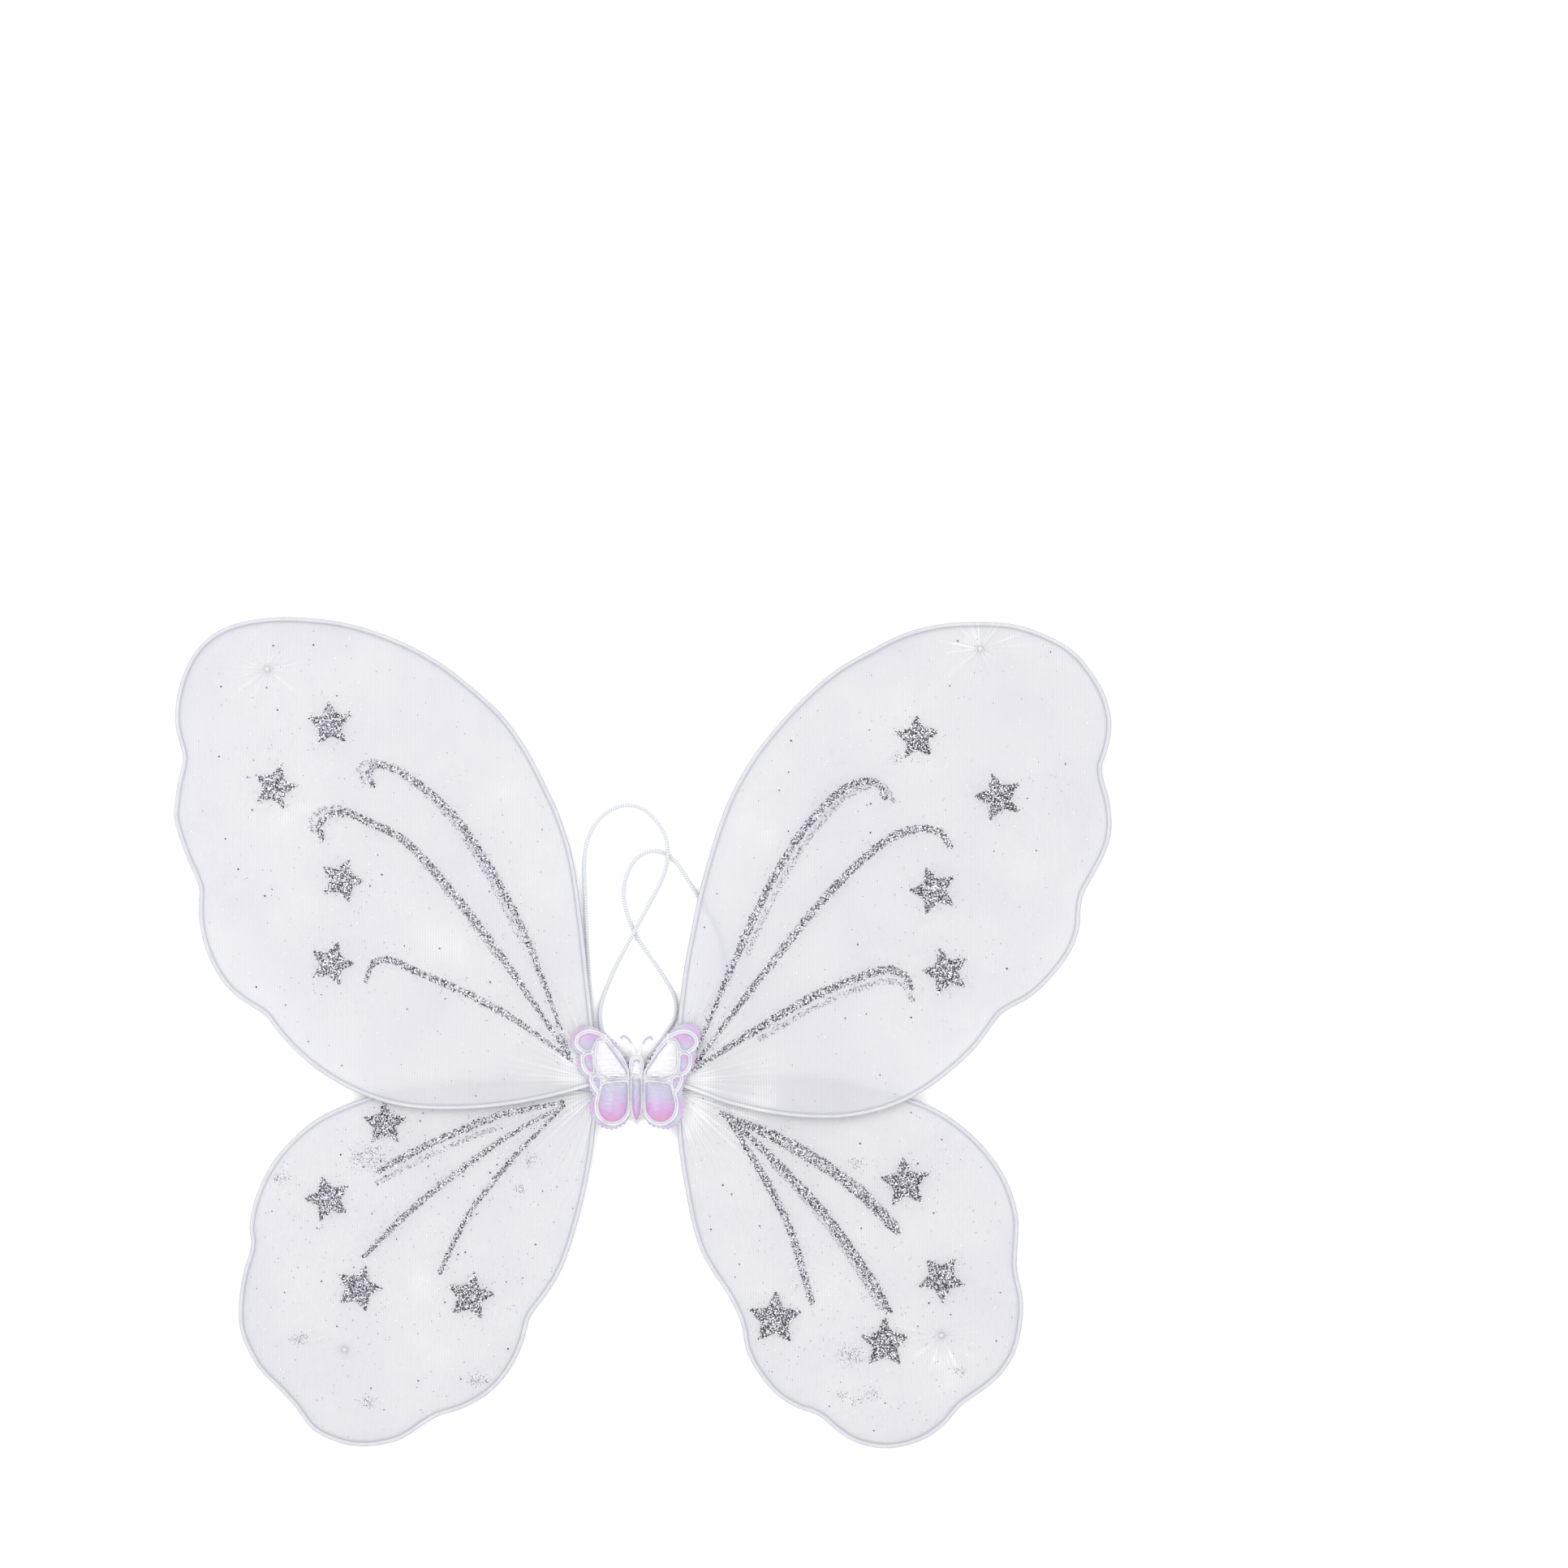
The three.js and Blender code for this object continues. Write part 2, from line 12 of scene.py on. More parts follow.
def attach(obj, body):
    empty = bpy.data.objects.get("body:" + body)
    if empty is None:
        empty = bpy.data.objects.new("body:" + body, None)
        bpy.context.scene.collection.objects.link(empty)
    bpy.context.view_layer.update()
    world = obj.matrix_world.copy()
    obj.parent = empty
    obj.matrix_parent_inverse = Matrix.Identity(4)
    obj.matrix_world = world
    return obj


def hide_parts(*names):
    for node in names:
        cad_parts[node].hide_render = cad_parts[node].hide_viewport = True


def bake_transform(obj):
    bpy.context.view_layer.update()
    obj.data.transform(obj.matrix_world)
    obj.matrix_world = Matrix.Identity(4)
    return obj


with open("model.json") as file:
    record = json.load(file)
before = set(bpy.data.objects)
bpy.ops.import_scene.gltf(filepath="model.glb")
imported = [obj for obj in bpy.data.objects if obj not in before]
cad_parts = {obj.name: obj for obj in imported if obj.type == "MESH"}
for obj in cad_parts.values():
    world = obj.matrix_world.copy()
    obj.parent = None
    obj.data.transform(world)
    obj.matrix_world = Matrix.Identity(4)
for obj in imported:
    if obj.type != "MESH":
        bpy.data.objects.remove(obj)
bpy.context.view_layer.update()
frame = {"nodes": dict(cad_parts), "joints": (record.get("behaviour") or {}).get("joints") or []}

MM = 0.001

# ---- sizes that repeat the frame's own ----
WIRE_RADIUS = 0.8
RIM_RADIUS = 0.95  # the wire with the sleeve pulled over it
PANEL_TO_WIRE = 1.4  # from the edge of the frame's sleeve panel to the wire's middle
TWIST_PITCH = 9.0
RISE_LENGTH = 4.0  # the wires climb from the root to their wing's plane over this
CORD_DIAMETER = 2.0
ROOT_HALF_SPREAD = 2.5  # from the middle to an upper or lower pair of wires
STUB_START, STUB_END = 11.4, 18.0
TAIL_START, TAIL_END = 1.0, 8.6

SIDES = {"left": -1, "right": 1}
TIERS = {"upper": 1, "lower": -1}
joints = {joint["name"]: joint for joint in frame["joints"]}
ROOT_Z = joints["left_fold"]["pos_m"][2] / MM
chance = np.random.default_rng(11)


# ======== stage, light and camera ========
# Metres, watts and, for the sensor, millimetres.
FRAME_WIDTH = 0.7728  # across the picture
CAMERA_X, CAMERA_Y, CAMERA_HEIGHT = 0.0724, 0.1484, 2.5
SENSOR_WIDTH = 36
FLOOR_SIZE = 6
SKY_STRENGTH = 1.15
SOFTBOXES = [  # place, size and power
    ((-0.8, 0.9, 1.6), 0.9, 9.0),
    ((0.9, -0.5, 1.7), 1.2, 4.0),
]

bpy.ops.object.camera_add(location=(CAMERA_X, CAMERA_Y, CAMERA_HEIGHT), rotation=(0, 0, 0))
camera = bpy.context.object
camera.name = "camera"
camera.data.sensor_width = SENSOR_WIDTH
camera.data.lens = SENSOR_WIDTH * CAMERA_HEIGHT / FRAME_WIDTH
bpy.context.scene.camera = camera
bpy.context.scene.view_settings.view_transform = "Standard"

# ======== materials ========
def linear(hex_colour):
    """An sRGB hex value as linear red, green, blue and alpha."""
    values = [int(hex_colour[i : i + 2], 16) / 255 for i in (1, 3, 5)]
    return (*[v / 12.92 if v <= 0.04045 else ((v + 0.055) / 1.055) ** 2.4 for v in values], 1.0)


MIX_FACTOR, MIX_UNDER, MIX_OVER, MIX_RESULT = 0, 6, 7, 2  # a colour Mix node's sockets


def add(tree, kind, inputs=None, stops=(), **settings):
    """Adds a shader node. An input is a value, or (node, output) for a link. A colour ramp's
    stops are (position, hex)."""
    node = tree.nodes.new("ShaderNode" + kind)
    for name, value in settings.items():
        setattr(node, name, value)
    for name, value in (inputs or {}).items():
        if isinstance(value, tuple) and isinstance(value[0], bpy.types.Node):
            tree.links.new(value[0].outputs[value[1]], node.inputs[name])
        else:
            node.inputs[name].default_value = value
    if stops:
        elements = node.color_ramp.elements
        elements[0].position, elements[0].color = stops[0][0], linear(stops[0][1])
        elements[1].position, elements[1].color = stops[-1][0], linear(stops[-1][1])
        for position, colour in stops[1:-1]:
            elements.new(position).color = linear(colour)
    return node


def new_material(name, roughness, **sockets):
    """A material, its node tree and its shader, with the shader's plain sockets set."""
    material = bpy.data.materials.new(name)
    material.use_nodes = True
    shader = material.node_tree.nodes["Principled BSDF"]
    shader.inputs["Roughness"].default_value = roughness
    for socket, value in sockets.items():
        shader.inputs[socket.replace("_", " ")].default_value = value
    return material, material.node_tree, shader


def plug(tree, source, shader, socket):
    tree.links.new(source[0].outputs[source[1]], shader.inputs[socket])


def coloured(tree, shader, factor, stops):
    """Gives the surface a ramp's colours."""
    colour = add(tree, "ValToRGB", {"Fac": factor}, stops)
    plug(tree, (colour, "Color"), shader, "Base Color")


def bumped(tree, shader, height, strength, depth):
    """Raises the surface by a pattern. Depth is in millimetres."""
    bump = add(tree, "Bump", {"Height": height, "Strength": strength, "Distance": depth * MM})
    plug(tree, (bump, "Normal"), shader, "Normal")


def band_scale(pitch):
    """A Wave Texture's scale for bands this far apart."""
    return 2 * math.pi / 20 / pitch


def streaks(tree, centre, per_radian, reach, low, high):
    """Rays out from a centre that fade at reach millimetres, from 0 to 1."""
    way = add(tree, "Attribute", attribute_name=centre)
    turn = add(tree, "VectorMath", {0: (way, "Vector")}, operation="NORMALIZE")
    rays = add(tree, "TexNoise", {"Vector": (turn, "Vector"), "Scale": per_radian, "Detail": 2.0})
    lit = add(tree, "MapRange", {"Value": (rays, "Fac"), "From Min": low, "From Max": high})
    far = add(tree, "VectorMath", {0: (way, "Vector")}, operation="LENGTH")
    near = add(
        tree,
        "MapRange",
        {"Value": (far, "Value"), "From Min": reach, "From Max": 0.0},
        interpolation_type="SMOOTHSTEP",
    )
    return add(tree, "Math", {0: (lit, "Result"), 1: (near, "Result")}, operation="MULTIPLY")


def nylon_knit(name, cover, dark, light):
    """Nylon tricot, heat-set and pulled tight: thin enough to see through, with fine upright
    wales, whiter and denser along the creases that run from where it is gathered."""
    material, tree, shader = new_material(
        name, 0.6, Sheen_Weight=0.2, Sheen_Roughness=0.4, IOR=1.5
    )
    place = (add(tree, "TexCoord"), "Object")
    # Real wales are 0.35 mm apart; they are drawn coarser so that they show.
    wales = add(
        tree,
        "TexWave",
        {"Vector": place, "Scale": band_scale(1.3 * MM), "Distortion": 0.8, "Detail": 1.0},
        bands_direction="X",
    )
    clouds = add(tree, "TexNoise", {"Vector": place, "Scale": 1 / (40 * MM), "Detail": 3.0})
    pleats = streaks(tree, "from_neck", 17.0, 64.0, 0.46, 0.86)
    star = streaks(tree, "from_gather", 7.0, 27.0, 0.52, 0.66)
    patches = add(tree, "MapRange", {"Value": (clouds, "Fac"), "From Min": 0.42, "From Max": 0.6})
    star = add(tree, "Math", {0: (star, "Value"), 1: (patches, "Result")}, operation="MULTIPLY")
    star = add(tree, "Math", {0: (star, "Value"), 1: 0.55}, operation="MULTIPLY")
    creases = add(tree, "Math", {0: (pleats, "Value"), 1: (star, "Value")}, operation="MAXIMUM")
    tone = add(
        tree, "Math", {0: (wales, "Fac"), 1: 0.08, 2: (clouds, "Fac")}, operation="MULTIPLY_ADD"
    )
    lit = add(
        tree, "Math", {0: (creases, "Value"), 1: 0.55, 2: (tone, "Value")}, operation="MULTIPLY_ADD"
    )
    # The knit lies closer and looks whiter where it is drawn together at the neck. This lightening is
    # also painted light, lifting the shade that falls there under the butterfly and between the
    # overlapping layers.
    neck = add(tree, "Attribute", attribute_name="from_neck")
    reach = add(tree, "VectorMath", {0: (neck, "Vector")}, operation="LENGTH")
    bunched = add(
        tree,
        "MapRange",
        {"Value": (reach, "Value"), "From Min": 28.0, "From Max": 5.0, "To Max": 0.45},
        interpolation_type="SMOOTHSTEP",
    )
    lit = add(tree, "Math", {0: (lit, "Value"), 1: (bunched, "Result")}, operation="ADD")
    colour = add(
        tree, "ValToRGB", {"Fac": (lit, "Value")}, [(0.3, dark), (0.7, light), (1.0, "#f6f6fa")]
    )
    # Over the wire the knit is left whiter. Painted shade greys the rim's outer edge, and a thin grey
    # line of painted shadow lies where the knit leaves the wire.
    edge = add(tree, "Attribute", attribute_name="from_wire")
    around = add(tree, "MapRange", {"Value": (edge, "Fac"), "From Min": -1.0, "From Max": 3.0})
    line = add(
        tree,
        "ValToRGB",
        {"Fac": (around, "Result")},
        [(0.0, "#ffffff"), (0.1, "#4c4c4c"), (0.16, "#000000"), (0.46, "#000000"), (0.54, "#ffffff"),
         (0.62, "#b0b0b0"), (0.85, "#000000")],
    )
    shaded = add(
        tree,
        "Mix",
        {MIX_FACTOR: (line, "Color"), MIX_UNDER: (colour, "Color"), MIX_OVER: linear("#9c9ca8")},
        data_type="RGBA",
    )
    plug(tree, (shaded, MIX_RESULT), shader, "Base Color")
    grid = add(
        tree,
        "MapRange",
        {"Value": (wales, "Fac"), "To Min": cover - 0.015, "To Max": cover + 0.015},
    )
    # The painted shade lines are also made a little more opaque.
    drawn = add(
        tree, "Math", {0: (line, "Color"), 1: 0.35, 2: (grid, "Result")}, operation="MULTIPLY_ADD"
    )
    dense = add(
        tree,
        "Math",
        {0: (creases, "Value"), 1: 0.22, 2: (drawn, "Value")},
        operation="MULTIPLY_ADD",
        use_clamp=True,
    )
    plug(tree, (dense, "Value"), shader, "Alpha")
    bumped(tree, shader, (wales, "Fac"), 0.15, 0.1)
    return material


def polyester_glitter():
    """Cut polyester glitter, vacuum metallised: each flake is a small mirror, and the reflection it
    shows is painted into its colour, so side by side they run from white through lilac grey to nearly
    black."""
    material, tree, shader = new_material("polyester_glitter", 0.3, Metallic=0.3)
    tone = add(tree, "Attribute", attribute_name="tone")
    coloured(
        tree,
        shader,
        (tone, "Fac"),
        [(0.0, "#0f0e14"), (0.35, "#35343f"), (0.55, "#777585"), (0.8, "#c2c0cc"), (1.0, "#ffffff")],
    )
    return material


def glitter_adhesive():
    """The clear adhesive that holds the glitter, grey from the fine flakes sunk in it."""
    material, tree, shader = new_material("glitter_adhesive", 0.45, Coat_Weight=0.3)
    place = (add(tree, "TexCoord"), "Object")
    grain = add(tree, "TexVoronoi", {"Vector": place, "Scale": 1 / (0.7 * MM)})
    coloured(tree, shader, (grain, "Color"), [(0.1, "#8e8c98"), (0.5, "#b6b4bf"), (0.85, "#d6d4dc")])
    bumped(tree, shader, (grain, "Distance"), 0.4, 0.2)
    return material


def iridescent_film():
    """Embossed polyester film with an interference coating, welded to its backing: white at the top,
    where a painted highlight lies over the upper pockets, then pale blue, lilac and pink lower down,
    with fine pressed ribs."""
    material, tree, shader = new_material(
        "iridescent_film_laminate", 0.3, Metallic=0.1, Coat_Weight=0.25, Coat_Roughness=0.12
    )
    place = (add(tree, "TexCoord"), "Object")
    sway = add(tree, "TexNoise", {"Vector": place, "Scale": 1 / (5 * MM), "Detail": 3.0})
    shift = add(
        tree,
        "MapRange",
        {"Value": (sway, "Fac"), "From Min": 0.3, "From Max": 0.7, "To Min": -0.1, "To Max": 0.1},
    )
    hue = add(tree, "Attribute", attribute_name="hue")
    total = add(
        tree,
        "Math",
        {0: (hue, "Fac"), 1: (shift, "Result")},
        operation="ADD",
        use_clamp=True,
    )
    colour = add(
        tree,
        "ValToRGB",
        {"Fac": (total, "Value")},
        [(0.0, "#e0dfe2"), (0.2, "#dad7df"), (0.34, "#b6bbc6"), (0.52, "#b8b4cb"), (0.7, "#bfa8cc"),
         (0.9, "#c596c8"), (1.0, "#cb95bb")],
    )
    weld = add(tree, "Attribute", attribute_name="weld")
    welded = add(
        tree,
        "Mix",
        {MIX_FACTOR: (weld, "Fac"), MIX_UNDER: (colour, "Color"), MIX_OVER: linear("#e4e3e6")},
        data_type="RGBA",
    )
    # Painted shade: creases and the grooves beside the weld lines are darkened with a thin grey line.
    groove = add(tree, "Attribute", attribute_name="groove")
    lined = add(
        tree,
        "Mix",
        {MIX_FACTOR: (groove, "Fac"), MIX_UNDER: (welded, MIX_RESULT), MIX_OVER: linear("#85828f")},
        data_type="RGBA",
    )
    plug(tree, (lined, MIX_RESULT), shader, "Base Color")
    ribs = add(
        tree,
        "TexWave",
        {"Vector": place, "Scale": band_scale(0.8 * MM), "Distortion": 1.5, "Detail": 2.0},
        bands_direction="Y",
    )
    bumped(tree, shader, (ribs, "Fac"), 0.7, 0.16)
    return material


def fibre(name, dark, light, size):
    """Needled or carded polyester: matt, with short fibres lying every way."""
    material, tree, shader = new_material(name, 0.95, Sheen_Weight=0.3)
    place = (add(tree, "TexCoord"), "Object")
    hairs = add(
        tree,
        "TexNoise",
        {"Vector": place, "Scale": 1 / (size * MM), "Detail": 6.0, "Distortion": 1.5},
    )
    coloured(tree, shader, (hairs, "Fac"), [(0.3, dark), (0.7, light)])
    bumped(tree, shader, (hairs, "Fac"), 0.6, 0.25)
    return material


def coated_steel():
    """Steel wire in an extruded white plastic coat: smooth and faintly glossy, with slight
    cloudy draw marks."""
    material, tree, shader = new_material("plastic_coated_steel", 0.4, Coat_Weight=0.2)
    place = (add(tree, "TexCoord"), "Object")
    marks = add(tree, "TexNoise", {"Vector": place, "Scale": 1 / (4 * MM), "Detail": 4.0})
    coloured(tree, shader, (marks, "Fac"), [(0.35, "#d2d4da"), (0.65, "#e2e3e8")])
    rough = add(tree, "MapRange", {"Value": (marks, "Fac"), "To Min": 0.32, "To Max": 0.5})
    plug(tree, (rough, "Result"), shader, "Roughness")
    return material


def yarn(name, pitch, dark, light):
    """Twisted or braided yarn: soft, with slanting plies pitch millimetres apart. Its UV map
    has turns across and millimetres along."""
    material, tree, shader = new_material(name, 0.8, Sheen_Weight=0.2)
    along = (add(tree, "UVMap", uv_map="along"), "UV")
    across = add(tree, "Mapping", {"Vector": along, "Scale": (2 * pitch, 1.0, 1.0)})
    plies = add(
        tree,
        "TexWave",
        {"Vector": (across, "Vector"), "Scale": band_scale(pitch) * math.sqrt(0.5) * 2},
        bands_direction="DIAGONAL",
    )
    coloured(tree, shader, (plies, "Fac"), [(0.1, dark), (0.7, light)])
    bumped(tree, shader, (plies, "Fac"), 0.5, 0.1)
    return material


def zinc_plate():
    """Rolled steel strip with a bright zinc plating, pressed closed: a faint spangle and
    slightly duller patches."""
    material, tree, shader = new_material("zinc_plated_steel", 0.35, Metallic=1.0)
    place = (add(tree, "TexCoord"), "Object")
    spangle = add(tree, "TexVoronoi", {"Vector": place, "Scale": 1 / (1.5 * MM)})
    coloured(tree, shader, (spangle, "Distance"), [(0.1, "#a9adb4"), (0.8, "#ced1d6")])
    rough = add(tree, "MapRange", {"Value": (spangle, "Distance"), "To Min": 0.25, "To Max": 0.45})
    plug(tree, (rough, "Result"), shader, "Roughness")
    return material


def hot_melt():
    """Hot-melt glue: milky, glossy and uneven where it was pressed flat."""
    material, tree, shader = new_material("hot_melt_glue", 0.3)
    place = (add(tree, "TexCoord"), "Object")
    swirl = add(tree, "TexNoise", {"Vector": place, "Scale": 1 / (3 * MM), "Detail": 2.0})
    coloured(tree, shader, (swirl, "Fac"), [(0.3, "#d6d0bd"), (0.7, "#e3dfd3")])
    bumped(tree, shader, (swirl, "Fac"), 0.3, 0.3)
    return material


def seamless_paper():
    """Matt white background paper with a very slight tooth."""
    material, tree, shader = new_material("background_paper", 0.9)
    place = (add(tree, "TexCoord"), "Object")
    tooth = add(tree, "TexNoise", {"Vector": place, "Scale": 1 / (2 * MM), "Detail": 2.0})
    coloured(tree, shader, (tooth, "Fac"), [(0.3, "#fdfdfd"), (0.7, "#ffffff")])
    return material


NYLON = nylon_knit("nylon_tricot_sheer", 0.52, "#d8d8de", "#dedee3")
GATHERED_NYLON = nylon_knit("nylon_tricot_gathered", 0.88, "#d6d6db", "#e2e2e7")
GLITTER = polyester_glitter()
ADHESIVE = glitter_adhesive()
FILM = iridescent_film()
FELT = fibre("needled_polyester_felt", "#f0f0f2", "#ffffff", 0.7)
COATED_STEEL = coated_steel()
THREAD = yarn("polyester_thread", 0.45, "#c2c2c9", "#e6e6ea")
ELASTIC = yarn("braided_elastic", 0.9, "#bcc0c6", "#d6d8dc")
ZINC = zinc_plate()
GLUE = hot_melt()

# ---- floor and light ----
bpy.ops.mesh.primitive_plane_add(size=FLOOR_SIZE, location=(0, 0, -0.2 * MM))
floor = bpy.context.object
floor.name = "background_paper"
floor.data.materials.append(seamless_paper())

world = bpy.data.worlds.new("studio_light")
world.use_nodes = True
world.node_tree.nodes["Background"].inputs["Color"].default_value = linear("#ffffff")
world.node_tree.nodes["Background"].inputs["Strength"].default_value = SKY_STRENGTH
bpy.context.scene.world = world
for place, size, power in SOFTBOXES:
    bpy.ops.object.light_add(type="AREA", location=place)
    softbox = bpy.context.object
    softbox.name = "softbox"
    softbox.data.size = size
    softbox.data.energy = power
    softbox.rotation_euler = (-softbox.location).to_track_quat("-Z", "Y").to_euler()


# ======== mesh helpers ========
def piece(name, points, faces, material, smooth=True):
    """A mesh object from points in metres, in the frame's own axes."""
    mesh = bpy.data.meshes.new(name)
    mesh.from_pydata([tuple(map(float, p)) for p in points], [], faces)
    obj = bpy.data.objects.new(name, mesh)
    bpy.context.scene.collection.objects.link(obj)
    mesh.materials.append(material)
    if smooth:
        mesh.shade_smooth()
    return obj


def set_values(obj, name, values, kind="FLOAT"):
    """Stores one value or vector a vertex, for the material to read."""
    attribute = obj.data.attributes.new(name, kind, "POINT")
    field = "vector" if kind == "FLOAT_VECTOR" else "value"
    attribute.data.foreach_set(field, np.asarray(values, np.float32).ravel())


def face_outwards(obj):
    mesh = bmesh.new()
    mesh.from_mesh(obj.data)
    bmesh.ops.remove_doubles(mesh, verts=mesh.verts, dist=1e-7)
    bmesh.ops.recalc_face_normals(mesh, faces=mesh.faces)
    mesh.to_mesh(obj.data)
    mesh.free()


def select_only(*objects):
    """Selects these objects and makes the first one active."""
    bpy.ops.object.select_all(action="DESELECT")
    for obj in objects:
        obj.select_set(True)
    bpy.context.view_layer.objects.active = objects[0]


def join(name, objects):
    """Joins pieces into one mesh with this name."""
    select_only(*objects)
    bpy.ops.object.join()
    objects[0].name = name
    objects[0].data.name = name
    return objects[0]


def modelled(name, material):
    """Names the object just added by an operator, and gives it its material."""
    obj = bpy.context.object
    obj.name = name
    obj.data.name = name
    obj.data.materials.append(material)
    return obj


def add_bevel(obj, name, width, least_degrees, segments=1):
    """Rounds the edges that are sharper than an angle. Width is in millimetres."""
    bevel = obj.modifiers.new(name, "BEVEL")
    bevel.width = width * MM
    bevel.segments = segments
    bevel.limit_method = "ANGLE"
    bevel.angle_limit = math.radians(least_degrees)


def finish_modifiers(obj):
    select_only(obj)
    for modifier in list(obj.modifiers):
        bpy.ops.object.modifier_apply(modifier=modifier.name)


def place_in_mesh(obj):
    """Moves the object's place and turn into its mesh."""
    select_only(obj)
    bpy.ops.object.transform_apply(location=True, rotation=True, scale=True)


def cut_across(places):
    """Cuts the active object's mesh square to X at places in metres."""
    bpy.ops.object.mode_set(mode="EDIT")
    for x in places:
        bpy.ops.mesh.select_all(action="SELECT")
        bpy.ops.mesh.bisect(plane_co=(x, 0, 0), plane_no=(1, 0, 0))
    bpy.ops.object.mode_set(mode="OBJECT")


def directions(line, closed=False):
    """The unit direction of a line at each of its points."""
    if closed:
        ways = np.roll(line, -1, axis=0) - np.roll(line, 1, axis=0)
    else:
        ways = np.gradient(line, axis=0)
    return ways / np.linalg.norm(ways, axis=1)[:, None]


def left_of(ways):
    """Flat directions turned a quarter turn to the left."""
    return np.column_stack([-ways[:, 1], ways[:, 0]])


def evenly(line, count):
    """The line's points moved to even spacing."""
    line = np.asarray(line, float)
    steps = np.linalg.norm(np.diff(line, axis=0), axis=1)
    at = np.concatenate([[0], np.cumsum(steps)])
    wanted = np.linspace(0, at[-1], count)
    return np.stack([np.interp(wanted, at, line[:, k]) for k in range(line.shape[1])], axis=1)


def curve_through(route, count):
    """A centripetal Catmull-Rom curve through the route."""
    points = [np.array(p, float) for p in route]
    points = [2 * points[0] - points[1], *points, 2 * points[-1] - points[-2]]
    fine = []
    for p0, p1, p2, p3 in zip(points, points[1:], points[2:], points[3:]):
        times = [0.0]
        for a, b in ((p0, p1), (p1, p2), (p2, p3)):
            times.append(times[-1] + max(np.linalg.norm(b - a), 1e-9) ** 0.5)
        t0, t1, t2, t3 = times
        for t in np.linspace(t1, t2, 24, endpoint=False):
            a1 = (t1 - t) / (t1 - t0) * p0 + (t - t0) / (t1 - t0) * p1
            a2 = (t2 - t) / (t2 - t1) * p1 + (t - t1) / (t2 - t1) * p2
            a3 = (t3 - t) / (t3 - t2) * p2 + (t - t2) / (t3 - t2) * p3
            b1 = (t2 - t) / (t2 - t0) * a1 + (t - t0) / (t2 - t0) * a2
            b2 = (t3 - t) / (t3 - t1) * a2 + (t - t1) / (t3 - t1) * a3
            fine.append((t2 - t) / (t2 - t1) * b1 + (t - t1) / (t2 - t1) * b2)
    fine.append(points[-2])
    return evenly(fine, count)


def length_of(line):
    return float(np.linalg.norm(np.diff(line, axis=0), axis=1).sum())


def round_along(name, line, radius, sides, material, flat=1.0, closed=False):
    """A tube along a line in metres, with blunt ends. Its UV map "along" has turns across and
    millimetres along. flat presses it in the direction that starts off upwards."""
    line = np.asarray(line, float)
    count = len(line)
    ways = directions(line, closed)
    across = np.cross(ways[0], (0, 0, 1))
    if np.linalg.norm(across) < 1e-3:
        across = np.cross(ways[0], (1, 0, 0))
    points = []
    for k in range(count):
        across = across - ways[k] * (across @ ways[k])
        across /= np.linalg.norm(across)
        upward = np.cross(ways[k], across)
        for i in range(sides):
            turn = 2 * math.pi * i / sides
            reach = math.cos(turn) * across + flat * math.sin(turn) * upward
            points.append(line[k] + radius * reach)
    faces = []
    for k in range(count if closed else count - 1):
        near, far = k * sides, (k + 1) % count * sides
        for i in range(sides):
            j = (i + 1) % sides
            faces.append((near + i, far + i, far + j, near + j))
    if not closed:
        points += [line[0] - ways[0] * radius * 0.5, line[-1] + ways[-1] * radius * 0.5]
        last = (count - 1) * sides
        for i in range(sides):
            j = (i + 1) % sides
            faces.append((len(points) - 2, i, j))
            faces.append((len(points) - 1, last + j, last + i))
    obj = piece(name, points, faces, material)
    step = length_of(line) / MM / (count - 1)
    layer = obj.data.uv_layers.new(name="along")
    for polygon in obj.data.polygons:
        corners = [(v % sides, v // sides) for v in polygon.vertices]
        wraps = {c[0] for c in corners} >= {0, sides - 1} and sides > 3
        for loop, (side, ring) in zip(polygon.loop_indices, corners):
            turn = side + (sides if wraps and side == 0 else 0)
            layer.data[loop].uv = (turn / sides, min(ring, count) * step)
    face_outwards(obj)
    return obj


def nearest_on(points, line, closed=False):
    """Each point's distance to a line, and how far along it the nearest place is (0 to 1)."""
    line = np.asarray(line, float)
    ends = np.roll(line, -1, axis=0) if closed else line[1:]
    starts = line if closed else line[:-1]
    lengths = np.linalg.norm(ends - starts, axis=1)
    before = np.concatenate([[0], np.cumsum(lengths)])
    best = np.full(len(points), 1e9)
    along = np.zeros(len(points))
    for k, (p, q) in enumerate(zip(starts, ends)):
        d = q - p
        t = np.clip(((points - p) @ d) / max(d @ d, 1e-12), 0, 1)
        distance = np.linalg.norm(points - (p + t[:, None] * d), axis=1)
        closer = distance < best
        best[closer] = distance[closer]
        along[closer] = (before[k] + t[closer] * lengths[k]) / before[-1]
    return best, along


def is_inside(points, outline):
    x, y = points[:, 0], points[:, 1]
    inside = np.zeros(len(points), bool)
    for (x1, y1), (x2, y2) in zip(outline, np.roll(outline, -1, axis=0)):
        crosses = (y1 > y) != (y2 > y)
        rise = y2 - y1 if y2 != y1 else 1e-12
        inside ^= crosses & (x < (x2 - x1) * (y - y1) / rise + x1)
    return inside


def depth_in(points, outline):
    """Distance to a closed outline, positive inside."""
    distance, _ = nearest_on(points, outline, closed=True)
    return np.where(is_inside(points, outline), distance, -distance)


HEX_ROWS = 0.866  # a hexagonal grid's rows are this share of its spacing apart


def hex_grid(low, high, spacing):
    rows = np.arange(low[1], high[1], spacing * HEX_ROWS)
    columns = np.arange(low[0], high[0], spacing)
    grid = [np.column_stack([columns + (k % 2) * spacing / 2, np.full(len(columns), y)])
            for k, y in enumerate(rows)]
    return np.concatenate(grid)


def rings_about(centre, radii, count, start=0.0, end=math.tau):
    turns = np.linspace(start, end, count, endpoint=end - start < math.tau)
    return np.concatenate(
        [np.column_stack([centre[0] + r * np.cos(turns), centre[1] + r * np.sin(turns)])
         for r in radii]
    )


